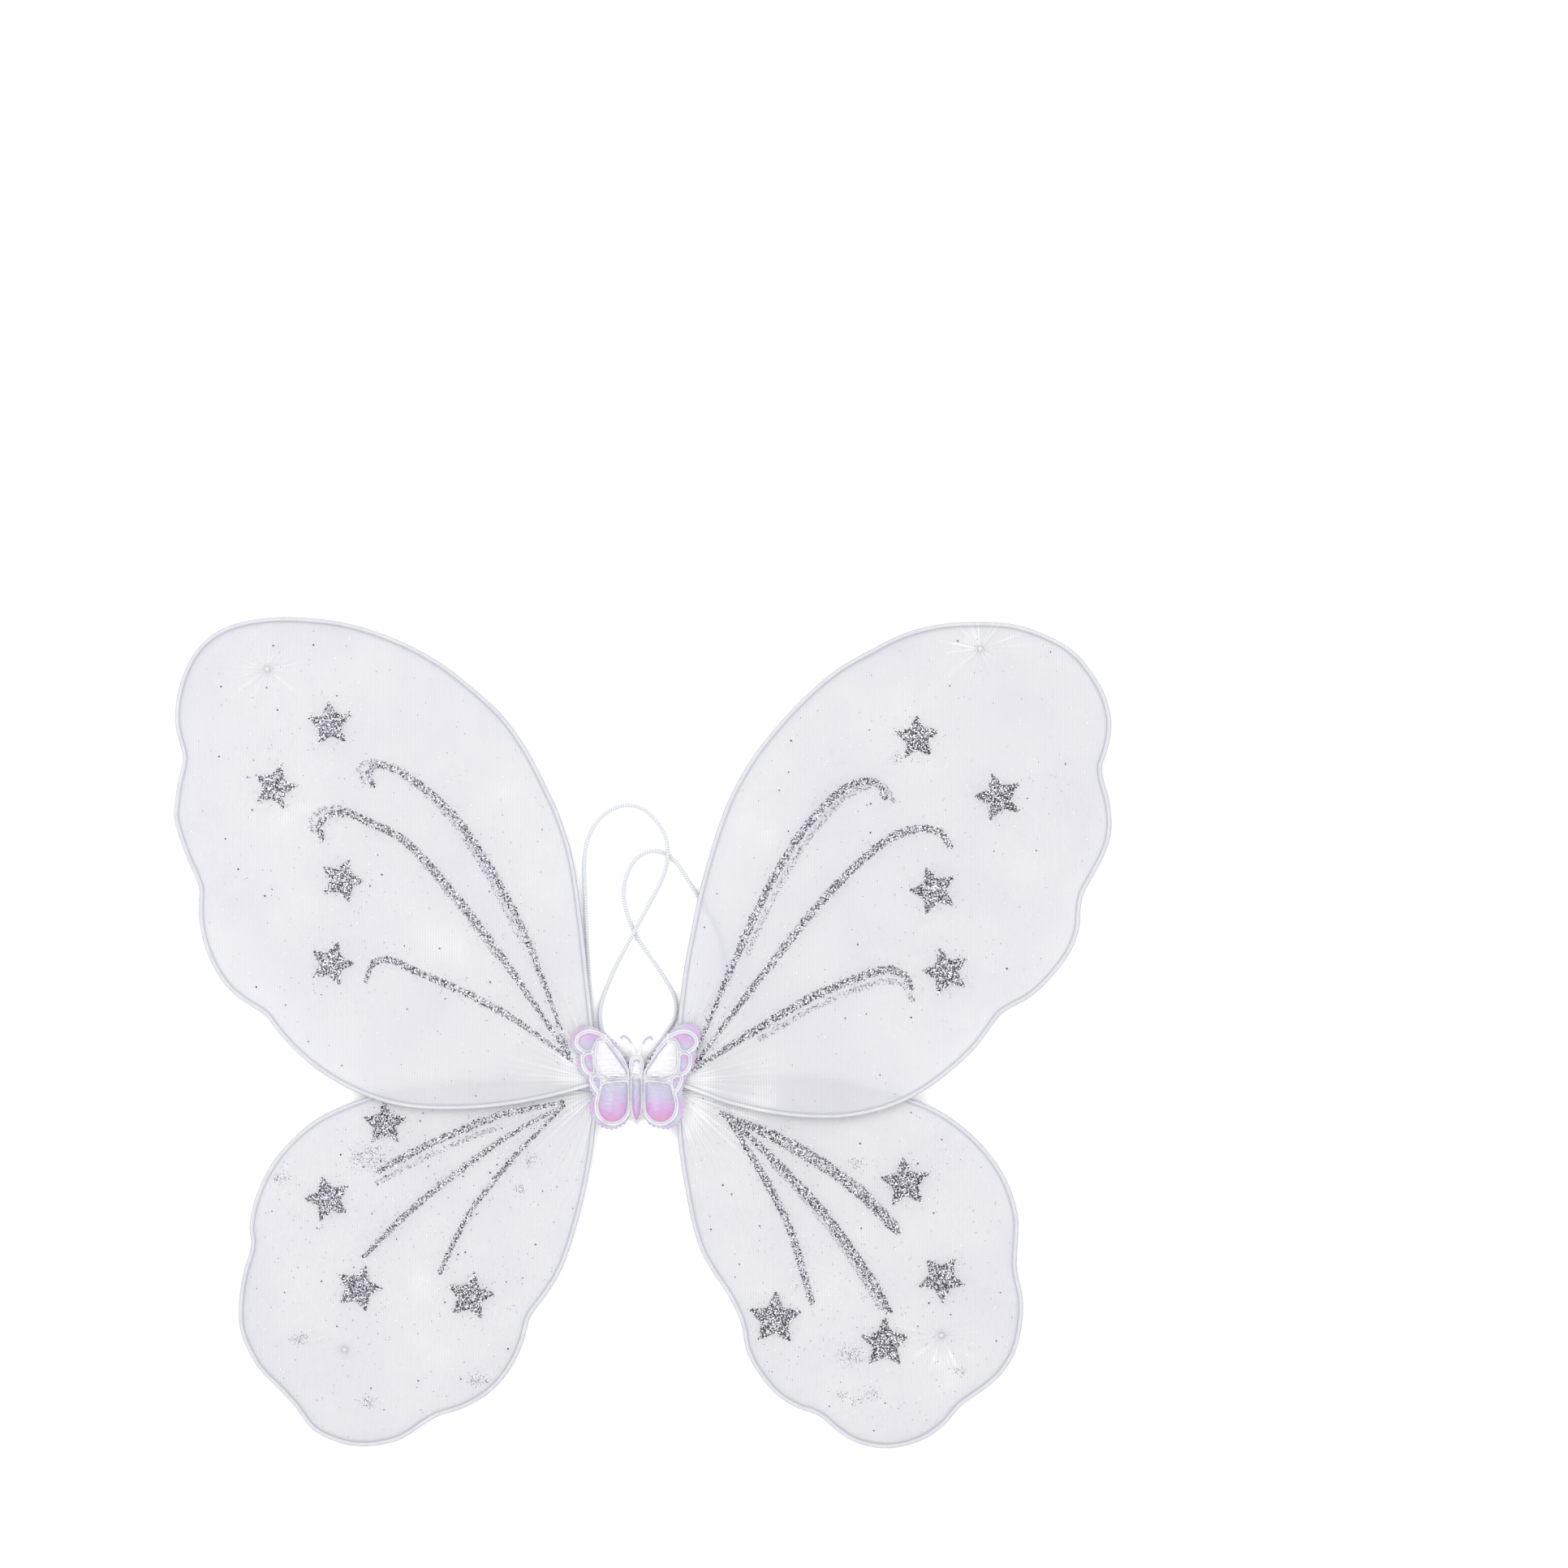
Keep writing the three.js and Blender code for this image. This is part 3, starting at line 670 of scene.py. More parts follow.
def triangles_over(outline, inside):
    """Triangles that fill an outline, with its own points first and then the inside ones."""
    points = [Vector(map(float, p)) for p in [*outline, *inside]]
    result = delaunay_2d_cdt(points, [], [list(range(len(outline)))], 1, 1e-6)
    return np.array([tuple(p) for p in result[0]]), [tuple(f) for f in result[2]]


def smooth_rise(x):
    x = np.clip(x, 0, 1)
    return x * x * (3 - 2 * x)


# ======== shoulder loops ========
# Points are [x, y, lift off the floor in cord diameters], from one end to the other.
CORDS = {
    "left": [
        (-7.4, 12.6, 1.1), (-10.4, 15.8, 0.7), (-14.6, 19.6, 0.2), (-19, 24.4, 0), (-21.8, 32, 0),
        (-23.2, 46, 0), (-24.4, 66, 0), (-25.4, 90, 0), (-25.9, 112, 0), (-24, 122, 0),
        (-19.6, 130, 0), (-13, 135.6, 0), (-5.4, 138, 0), (2.6, 136.2, 0), (9.2, 130.4, 0),
        (13.6, 123.4, 0.5), (15.1, 114.6, 1.15), (14, 106.6, 0.5), (10.4, 97.6, 0.05),
        (5.6, 88.6, 0.3), (1.6, 81, 0.8), (-2.2, 74, 1.15), (-6.2, 66.8, 0.7), (-9.8, 60, 0.1),
        (-13.6, 51.6, 0), (-17, 42.6, 0), (-18.4, 34.4, 0), (-17, 26.4, 0), (-12.8, 21, 0.2),
        (-8.6, 17, 0.7), (-5.6, 13.6, 1.1),
    ],
    "right": [
        (5.6, 13.6, 1.1), (9, 18, 0.7), (13.6, 24.6, 0.1), (18.6, 33.6, 0), (18.8, 42, 0),
        (14.2, 51.7, 0), (7.7, 61.5, 0), (2, 69.6, 0), (-2.1, 77, 0), (-5.4, 86, 0),
        (-6.7, 94.1, 0), (-5.4, 102.7, 0), (-2.1, 109.6, 0), (2.8, 114, 0), (8.1, 115.5, 0),
        (14.2, 114, 0), (19.4, 109.6, 0), (24.4, 102, 0), (30.4, 92.4, 0), (37, 81, 0),
        (41.6, 69, 0), (42.4, 57, 0), (38.4, 45, 0), (30.4, 34.4, 0), (20.4, 25.4, 0),
        (12.4, 18.2, 0.5), (7.6, 12.9, 1.1),
    ],
}
KNOT_PLACE = (5.2, 10.2, 3.9)
KNOT_SIZE = 0.72
KNOT_CORD_RADIUS = 0.95  # the elastic is pulled thinner in its knot


def shoulder_loop(side):
    route = [(x, y, CORD_DIAMETER * (0.5 + lift)) for x, y, lift in CORDS[side]]
    line = curve_through(route, 420) * MM
    obj = round_along(f"{side}_shoulder_loop", line, CORD_DIAMETER / 2 * MM, 12, ELASTIC)
    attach(obj, "centre")
    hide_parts(f"{side}_shoulder_elastic")
    knot = overhand_knot(side)


def overhand_knot(side):
    """The two ends of a loop tied together, with their cut tails."""
    x, y, z = KNOT_PLACE
    x *= SIDES[side]
    turns = np.linspace(0, 2 * math.pi, 96, endpoint=False)
    loop = np.column_stack(
        [
            x + KNOT_SIZE * (np.sin(turns) + 2 * np.sin(2 * turns)),
            y + KNOT_SIZE * (np.cos(turns) - 2 * np.cos(2 * turns)),
            z - KNOT_SIZE * np.sin(3 * turns),
        ]
    )
    radius = KNOT_CORD_RADIUS * MM
    knot = round_along("knot", loop * MM, radius, 10, ELASTIC, closed=True)
    away = SIDES[side]
    tails = []
    for lean in (-1.0, 1.4):
        route = [
            (x, y - 1, z),
            (x + lean, y - 3.4, z - 0.3),
            (x + 1.7 * lean + away, y - 6.2, z - 1.2),
        ]
        tails.append(round_along("tail", curve_through(route, 14) * MM, radius, 10, ELASTIC))
    obj = join(f"{side}_loop_knot", [knot, *tails])
    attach(obj, "centre")
    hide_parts(f"{side}_elastic_knot")
    return obj


for side in SIDES:
    shoulder_loop(side)


# ======== the wings ========
# Strokes and stars are in millimetres in the frame's own axes. A stroke is its points, from the
# neck outwards, and its widest half width. A star is its middle, its reach and its tip's turn.
STROKES = {
    "upper_left": [
        ([(-33, 15), (-44, 46), (-59, 83), (-81, 121), (-91, 134), (-114, 153), (-127, 158),
          (-132, 155), (-130, 148)], 1.6),
        ([(-33, 14), (-51, 41), (-81, 83), (-115, 121), (-131, 129), (-142, 134), (-151, 133),
          (-156, 129), (-155, 122)], 1.75),
        ([(-32, 13), (-69, 38), (-110, 57), (-122, 62), (-130, 60), (-133, 52)], 1.6),
    ],
    "upper_right": [
        ([(30, 19), (45, 54), (63, 94), (78, 120), (89, 134), (102, 146), (114, 150), (119, 148),
          (122, 142)], 1.75),
        ([(29, 11), (60, 52), (94, 94), (122, 120), (136, 126), (144, 126), (150, 124),
          (154, 118)], 1.8),
        ([(28, 8), (53, 24), (87, 44), (106, 52), (122, 57), (129, 56), (132, 54), (135, 48)], 1.9),
    ],
    "lower_left": [
        ([(-36, -8), (-68, -15), (-98, -27), (-127, -42)], 1.65),
        ([(-36, -10), (-62, -24), (-94, -47), (-114, -64), (-134, -84)], 1.35),
        ([(-37, -11), (-62, -37), (-83, -64), (-97, -92)], 1.15),
    ],
    "lower_right": [
        ([(42, -14), (75, -29), (108, -51), (128, -71)], 2.9),
        ([(43, -14), (70, -39), (96, -68), (116, -97), (124, -111)], 2.15),
        ([(43, -14), (59, -39), (75, -70), (86, -107)], 1.7),
    ],
}
STARS = {
    "upper_left": [
        (-151, 178, 10.8, 95), (-178, 147, 10.8, 3), (-145, 101, 10.8, 0), (-150, 60, 10.8, 2),
    ],
    "upper_right": [
        (138, 171, 10.8, 92), (178, 142, 11.6, 178), (146, 96, 11.6, 180), (152, 56, 11.6, 178),
    ],
    "lower_left": [
        (-124, -19, 10.6, 90), (-152, -56, 11.2, 178), (-137, -100, 11.4, 0), (-82, -104, 11.6, 8),
    ],
    "lower_right": [
        (132, -48, 12.2, 95), (150, -95, 11.6, 272), (68, -115, 13, 88), (122, -127, 12.2, 90),
    ],
}
# Smears are where loose glitter stuck: middle and reach.
SMEARS = {
    "upper_left": [],
    "upper_right": [(128, 161, 3)],
    "lower_left": [(-176, -45, 5), (-132, -35, 8), (-166, -125, 4), (-132, -156, 4), (-78, -145, 5),
                   (-52, -37, 4), (-58, -51, 3)],
    "lower_right": [(108, -39, 4), (105, -133, 6), (101, -153, 3), (108, -156, 2.5), (116, -152, 4),
                    (159, -141, 3)],
}
# The back layer's print shows faintly beside some strokes. Sparse flakes on the front layer
# stand for it: which stroke they repeat, and its shift.
GHOSTS = {
    "upper_left": [(0, (4.5, 1.5)), (1, (4.0, 2.5))],
    "upper_right": [(2, (0.5, -5.5)), (0, (4.0, -2.0))],
    "lower_left": [(0, (1.0, -6.0))],
    "lower_right": [(1, (-4.5, 2.0))],
}
# Where each sleeve's end is drawn together, outwards and up from the frame's middle.
GATHERS = {
    "upper_left": (182, 205),
    "upper_right": (169, 215),
    "lower_left": (144, -130),
    "lower_right": (150, -123),
}
NECK_PLEATS = {"upper": 0.7, "lower": 1.1}  # how high the pleats stand at the neck


class Wing:
    """One wing's own axes in millimetres: x outwards from its neck, y up along its plane and z
    out of it."""

    def __init__(self, tier, side):
        self.tier, self.side, self.name = tier, side, f"{tier}_{side}"
        self.body = f"{self.name}_wing"
        joint = joints[f"{self.name}_swivel"]
        self.neck = np.array(joint["pos_m"])
        normal = np.array(joint["axis"]) * SIDES[side]
        self.axes = np.array([(SIDES[side], 0, 0), (0, normal[2], -normal[1]), normal])
        self.drop = ROOT_Z - self.neck[2] / MM  # the root's height in these axes
        self.wire = self.wire_line()
        self.gather = np.array(GATHERS[self.name]) - (
            self.neck[0] * SIDES[side] / MM,
            self.neck[1] / MM,
        )

    def to_frame(self, points):
        return self.neck + (np.asarray(points, float) * MM) @ self.axes

    def from_frame(self, points):
        return ((np.asarray(points, float) - self.neck) @ self.axes.T) / MM

    def flat(self, x, y):
        """A place on the wing from the frame's x and y in millimetres."""
        return np.array([x * SIDES[self.side], y]) - (abs(self.neck[0]) / MM, self.neck[1] / MM)

    def wire_line(self):
        """The wire's middle, found from the frame's sleeve panel, from the neck round to it."""
        mesh = frame["nodes"][f"{self.name}_sleeve"].data
        local = self.from_frame([v.co for v in mesh.vertices])
        keys = [tuple(np.round(p, 2)) for p in local]
        edges = {}
        for polygon in mesh.polygons:
            corners = [keys[i] for i in polygon.vertices]
            if all(c[2] > 0 for c in corners):
                for a, b in zip(corners, corners[1:] + corners[:1]):
                    edges.setdefault(frozenset((a, b)), []).append((a, b))
        after = {e[0][0]: e[0][1] for e in edges.values() if len(e) == 1}
        at = min(after)
        loop = []
        while at in after:
            loop.append(at[:2])
            at = after.pop(at)
        # The longest gap is the chord that closes the panel beside the neck.
        gaps = np.linalg.norm(np.roll(loop, -1, axis=0) - loop, axis=1)
        loop = np.roll(loop, -(int(gaps.argmax()) + 1), axis=0)
        if loop[0][1] < loop[-1][1]:
            loop = loop[::-1]
        middle = (loop + left_of(directions(loop)) * PANEL_TO_WIRE)[1:-1]
        return curve_through([(0.6, 0.95), *middle, (0.6, -0.95)], 500)

    def lift(self, flat_points):
        """How far the layers still lie from the wing's plane beside the neck."""
        reach = np.linalg.norm(flat_points, axis=1)
        return self.drop * (1 - smooth_rise(reach / RISE_LENGTH))

    def layer_height(self, flat_points, front):
        """The height of the knit's front or back layer at flat points on the wing."""
        edge, _ = nearest_on(flat_points, self.wire[::2])
        reach = np.linalg.norm(flat_points, axis=1)
        turn = np.arctan2(flat_points[:, 1], flat_points[:, 0])
        phase = 2 if front else 4
        sway = 27 * turn + 1.5 * np.sin(5 * turn + 1) + 0.9 * np.sin(11 * turn + phase)
        pleats = NECK_PLEATS[self.tier] * np.sin(sway) * np.exp(-reach / 15)
        to_gather = flat_points - self.gather
        gather_reach = np.linalg.norm(to_gather, axis=1)
        star = np.arctan2(to_gather[:, 1], to_gather[:, 0])
        puckers = 0.3 * np.sin(16 * star + np.sin(3 * star)) * np.exp(-gather_reach / 9)
        peak = 0.8 * np.exp(-gather_reach / 2.2)
        waves = 0.12 * np.sin(flat_points[:, 0] / 17 + 1) * np.sin(flat_points[:, 1] / 23)
        apart = 0.3 + (RIM_RADIUS - 0.3) * np.exp(-edge / 5)
        ease = smooth_rise(edge / 3)
        gathered = (puckers + peak) if front else puckers * 0.3
        shape = apart + ease * (np.clip(pleats, -0.25, 1) + gathered + np.abs(waves))
        return self.lift(flat_points) + (shape if front else -np.clip(shape, 0.1, 1.2))


RIM_STEPS = 520


def frame_wire(wing):
    """The bent wire, from inside its neck round the loop and back."""
    loop = np.column_stack([wing.wire, wing.lift(wing.wire)])
    ends = [(-0.9, 0.8, wing.drop), (-0.9, -0.8, wing.drop)]
    line = wing.to_frame(evenly([ends[0], *loop, ends[1]], RIM_STEPS))
    obj = round_along(f"{wing.name}_bent_wire", line, WIRE_RADIUS * MM, 12, COATED_STEEL)
    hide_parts(f"{wing.name}_frame_wire")
    neck_blend(obj, wing)


def neck_blend(obj, wing):
    start, end = wing.to_frame([(-0.6, 0, wing.drop), (1.4, 0, wing.drop)])
    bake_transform(obj)


KNIT_GRID = 3.3
NECK_AREA, GATHER_AREA = 47, 22  # inside these the points lie in rings and not on the grid
NECK_RINGS = 4 * 1.11 ** np.arange(24)
GATHER_RINGS = (1.2, 2.2, 3.4, 4.8, 6.4, 8.3, 10.4, 12.8, 15.4, 18.2, 21)
RIM_TURNS = np.radians([60, 30, 0, -30, -60])  # round the wire, from the front to the back


def knit_sleeve(wing, extras):
    """The sleeve over the wire: a front and a back layer of knit joined round the outside. Its
    mouth stays open, inside the neck bundle."""
    edge = evenly(wing.wire, RIM_STEPS)
    count = len(edge)
    low, high = edge.min(axis=0), edge.max(axis=0)
    grid = hex_grid(low, high, KNIT_GRID)
    neck_reach = np.linalg.norm(grid, axis=1)
    gather_reach = np.linalg.norm(grid - wing.gather, axis=1)
    grid = grid[(neck_reach > NECK_AREA) & (gather_reach > GATHER_AREA)]
    near = rings_about((0, 0), NECK_RINGS, 78, -0.35, 1.6)
    near[:, 1] *= TIERS[wing.tier]
    star = rings_about(wing.gather, GATHER_RINGS, 64)
    inside = np.concatenate([grid, near, star])
    clear = depth_in(inside, edge)
    inside = inside[clear > 1.1]
    flat_points, triangles = triangles_over(edge, inside)
    total = len(flat_points)
    front = np.column_stack([flat_points, wing.layer_height(flat_points, True)])
    back = np.column_stack([flat_points, wing.layer_height(flat_points, False)])
    outwards = left_of(directions(edge))
    lift = wing.lift(edge)
    front[:count, 2] = lift + RIM_RADIUS
    back[:count, 2] = lift - RIM_RADIUS
    rim = [
        np.column_stack(
            [edge + outwards * RIM_RADIUS * math.cos(turn), lift + RIM_RADIUS * math.sin(turn)]
        )
        for turn in RIM_TURNS
    ]
    points = np.concatenate([front, back, *rim])
    rows = [0, *[2 * total + k * count for k in range(len(RIM_TURNS))], total]
    faces = [*triangles, *[tuple(i + total for i in reversed(t)) for t in triangles]]
    for upper_row, lower_row in zip(rows, rows[1:]):
        for i in range(count - 1):
            faces.append((upper_row + i, lower_row + i, lower_row + i + 1, upper_row + i + 1))
    obj = piece(f"{wing.name}_knit_sleeve", wing.to_frame(points), faces, NYLON)
    set_values(obj, "from_neck", points * (1, 1, 0), "FLOAT_VECTOR")
    set_values(obj, "from_gather", (points - (*wing.gather, 0)) * (1, 1, 0), "FLOAT_VECTOR")
    inwards, _ = nearest_on(flat_points, edge)
    inwards[:count] = 0
    around = [np.full(count, -RIM_RADIUS * math.cos(turn)) for turn in RIM_TURNS]
    set_values(obj, "from_wire", np.concatenate([inwards, inwards, *around]))
    face_outwards(obj)
    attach(obj, wing.body)
    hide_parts(f"{wing.name}_sleeve")


def fused_end(wing):
    """The far end of the sleeve, drawn together and melted to a small fluted nub."""
    height = float(wing.layer_height(wing.gather[None, :], True)[0])
    middle = wing.to_frame((*wing.gather, height - 0.1))
    bpy.ops.object.select_all(action="DESELECT")
    bpy.ops.mesh.primitive_cone_add(
        vertices=30, radius1=1.5 * MM, radius2=0.55 * MM, depth=1.3 * MM, location=middle
    )
    obj = modelled(f"{wing.name}_fused_end", GATHERED_NYLON)
    place_in_mesh(obj)
    bpy.ops.object.mode_set(mode="EDIT")
    bpy.ops.mesh.select_all(action="SELECT")
    bpy.ops.mesh.subdivide(number_cuts=3)
    bpy.ops.object.mode_set(mode="OBJECT")
    for vertex in obj.data.vertices:
        away = Vector((vertex.co.x - middle[0], vertex.co.y - middle[1], 0))
        turn = math.atan2(away.y, away.x)
        away *= 0.16 * math.sin(9 * turn) + 0.06 * math.sin(4 * turn + 1)
        vertex.co += away
    add_bevel(obj, "melted_rim", 0.12, 40)
    finish_modifiers(obj)
    bpy.ops.object.shade_smooth()
    set_gather_values(obj)
    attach(obj, wing.body)
    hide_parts(f"{wing.name}_sleeve_end")
    return obj


PAST_CREASES = (400.0, 1.0, 0.0)
PAST_WIRE = 9.0


def set_gather_values(obj):
    """Pieces that are bunched all over have no single centre for their creases."""
    count = len(obj.data.vertices)
    for name in ("from_neck", "from_gather"):
        set_values(obj, name, [PAST_CREASES] * count, "FLOAT_VECTOR")
    set_values(obj, "from_wire", [PAST_WIRE] * count)


NECK_BUNDLE_LENGTH = 5.6


def neck_bundle(wing):
    """The sleeve's open end, bunched round the two wires under its thread tie, with a short
    flared cut edge."""
    length = NECK_BUNDLE_LENGTH * MM
    middle = wing.to_frame((-1.4, 0, wing.drop))
    bpy.ops.object.select_all(action="DESELECT")
    bpy.ops.mesh.primitive_cylinder_add(
        vertices=54,
        radius=1.9 * MM,
        depth=length,
        end_fill_type="TRIFAN",
        location=middle,
        rotation=(0, math.pi / 2, 0),
    )
    obj = modelled(f"{wing.name}_neck_bundle", GATHERED_NYLON)
    place_in_mesh(obj)
    cut_across(middle[0] + (np.linspace(0.08, 0.92, 11) - 0.5) * length)
    for vertex in obj.data.vertices:
        out, up, high = wing.from_frame(vertex.co)
        high -= wing.drop
        reach = math.hypot(up, high)
        if reach < 0.5:
            continue
        turn = math.atan2(high, up)
        tie = math.exp(-(((out + 1.9) / 1.0) ** 2))
        flutes = 0.17 * math.sin(9 * turn + out * 0.5) + 0.1 * math.sin(5 * turn - out)
        flare = 0.35 * max(0.0, -3.0 - out)
        radius = 1.95 + (1 - tie) * (0.22 + flutes) + flare + 0.05 * math.sin(9 * turn) * tie
        # Beyond the tie it opens sideways, to follow the two wires as they part.
        opening = max(0.0, out)
        up = radius * math.cos(turn) * (1 + 0.25 * opening)
        high = radius * math.sin(turn) * (1 - 0.12 * opening)
        # The side that faces the other tier's wing is pressed flat by it.
        if up * TIERS[wing.tier] < 0:
            up *= 1 - 0.3 * min(1.0, opening)
        if high * TIERS[wing.tier] < 0:
            high *= 1 - 0.26 * min(1.0, opening)
        if out < -4:
            out -= 0.35 * math.sin(11 * turn) ** 2
        vertex.co = wing.to_frame((out, up, high + wing.drop))
    bpy.ops.object.shade_smooth()
    set_gather_values(obj)
    face_outwards(obj)
    neck_blend(obj, wing)
    return obj


def wound_thread(name, start, length, y, half_straight, radius, thread, turns):
    """Thread wound round a bundle that lies along X, from start on. half_straight is half the
    distance between two bundles that it goes round together."""
    points = []
    steps = int(turns * 40)
    for k in range(steps + 1):
        turn = 2 * math.pi * turns * k / steps
        share = k / steps
        reach = radius + 0.06 * math.sin(3.7 * turn)
        x = start + length * share + 0.08 * math.sin(turn * 0.9)
        sideways = math.cos(turn)
        points.append(
            (
                x,
                y + half_straight * np.clip(1.6 * sideways, -1, 1) + reach * sideways,
                ROOT_Z + reach * math.sin(turn),
            )
        )
    line = evenly(points, steps)
    end_tail = [
        points[-1],
        (points[-1][0] + 0.5, points[-1][1] + 0.9, points[-1][2] - 0.5),
        (points[-1][0] + 1.4, points[-1][1] + 1.2, points[-1][2] - 1.6),
    ]
    coil = round_along("coil", line * MM, thread / 2 * MM, 7, THREAD)
    tail = round_along("tail", curve_through(end_tail, 10) * MM, thread / 2 * MM, 7, THREAD)
    return join(name, [coil, tail])


def mirror_to(side, obj):
    """Turns a piece made on the right into the left one."""
    if SIDES[side] > 0:
        return
    for vertex in obj.data.vertices:
        vertex.co.x *= -1
    face_outwards(obj)


def root_pieces(side):
    """What binds one side's wires: wound thread round each pair and round both pairs."""
    for tier, up in TIERS.items():
        y = up * ROOT_HALF_SPREAD
        tie = wound_thread(
            f"{tier}_{side}_neck_winding",
            start=15.75,
            length=1.9,
            y=y,
            half_straight=0,
            radius=2.12,
            thread=0.36,
            turns=7,
        )
        mirror_to(side, tie)
        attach(tie, f"{side}_root")
        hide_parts(f"{tier}_{side}_neck_thread")
        twisted_pair(side, tier, y)
    band = wound_thread(
        f"{side}_root_winding",
        start=13.3,
        length=2.1,
        y=0,
        half_straight=ROOT_HALF_SPREAD - 0.1,
        radius=1.95,
        thread=0.4,
        turns=7,
    )
    mirror_to(side, band)
    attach(band, f"{side}_root")
    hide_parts(f"{side}_root_band")


def twisted_pair(side, tier, y):
    """Two ends of a frame wire twisted together, from the crimp to the neck."""
    strands = []
    for half_turn in (0, math.pi):
        x = np.linspace(TAIL_START, STUB_END - 0.2, 120)
        turn = 2 * math.pi * (x - STUB_END + 0.2) / TWIST_PITCH + half_turn
        line = np.column_stack(
            [x, y + WIRE_RADIUS * np.cos(turn), ROOT_Z + WIRE_RADIUS * np.sin(turn)]
        )
        strands.append(round_along("strand", line * MM, WIRE_RADIUS * 0.98 * MM, 12, COATED_STEEL))
    obj = join(f"{tier}_{side}_twisted_pair", strands)
    mirror_to(side, obj)
    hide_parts(f"{tier}_{side}_twist", f"{tier}_{side}_wire_tail")
    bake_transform(obj)


# ---- glitter ----
FLAKE_GRID = 0.5  # between the flakes of a stroke or a star
FLAKE_STRAY = 0.18  # how far each strays from its place in the grid
STAR_COVER, STROKE_COVER = 0.93, 0.7  # the share of the places that hold a flake
STAR_SPREAD = 0.3  # how far a star's flakes reach past its outline
STAR_FRAY, STROKE_FRAY = 0.16, 0.22  # how ragged the edges are
SMEAR_FLAKES = 5  # for a reach of one millimetre
BESIDE_STROKE, STROKE_DRIFT = 1.1, 3.2  # loose flakes for each millimetre, and how far they lie
BESIDE_STAR, STAR_DRIFT = 70, 7.5
DUST = {"upper": 700, "lower": 900}
SPECKS = 46
CLEAR_OF_RIM = 3
GHOST_COVER = 0.3
# The radius of each sort of flake, and how far it may lie above the knit.
PRINT_FLAKE = {"size": 0.31, "height": 0.3}
LOOSE_FLAKE = {"size": 0.2, "height": 0.15}
GHOST_FLAKE = {"size": 0.24, "height": 0.12}
SPECK_FLAKE = {"size": 0.42, "height": 0.2}


def star_outline(wing, star):
    x, y, reach, turn = star
    middle = wing.flat(x, y)
    points = []
    for k in range(10):
        radius = reach if k % 2 == 0 else reach * 0.5
        angle = math.radians(turn + 36 * k)
        points.append(middle + (SIDES[wing.side] * radius * math.cos(angle), radius * math.sin(angle)))
    return np.array(points)


def stroke_half_width(half_width, along):
    """Thin at the neck, fullest past the middle and a little thinner at its end."""
    return half_width * (0.5 + 0.5 * smooth_rise(along / 0.4) - 0.2 * smooth_rise((along - 0.85) / 0.15))


def flakes(wing, places, reflection_tones, size, height):
    """Six-sided flakes lying on the knit's front layer, each tipped a little its own way. Each
    is one open face, with no thickness."""
    count = len(places)
    radii = size * chance.uniform(0.75, 1.2, count)
    turns = chance.uniform(0, math.tau, count)
    tips = chance.uniform(0, 0.28, count)
    tip_turns = chance.uniform(0, math.tau, count)
    above = chance.uniform(0.08, height, count)
    base = wing.layer_height(places, True)
    corners = []
    for k in range(6):
        angle = turns + k * math.pi / 3
        dx, dy = radii * np.cos(angle), radii * np.sin(angle)
        rise = tips * (dx * np.cos(tip_turns) + dy * np.sin(tip_turns))
        z = base + above + rise
        corners.append(np.column_stack([places[:, 0] + dx, places[:, 1] + dy, z]))
    points = np.stack(corners, axis=1).reshape(-1, 3)
    order = range(6) if SIDES[wing.side] > 0 else range(5, -1, -1)
    faces = [tuple(6 * i + k for k in order) for i in range(count)]
    obj = piece("flakes", wing.to_frame(points), faces, GLITTER, smooth=False)
    set_values(obj, "tone", np.repeat(reflection_tones, 6))
    return obj


def painted_reflection_tones(count, dark_share=0.46):
    """Painted reflections, one for each flake: mostly very dark or very light, with some between."""
    kind = chance.uniform(0, 1, count)
    dark = chance.uniform(0.0, 0.3, count)
    middle = chance.uniform(0.4, 0.65, count)
    light = chance.uniform(0.78, 1.0, count)
    return np.where(kind < dark_share, dark, np.where(kind < dark_share + 0.2, middle, light))


def clear_of_rim(wing, places):
    return places[depth_in(places, wing.wire[::4]) > CLEAR_OF_RIM]


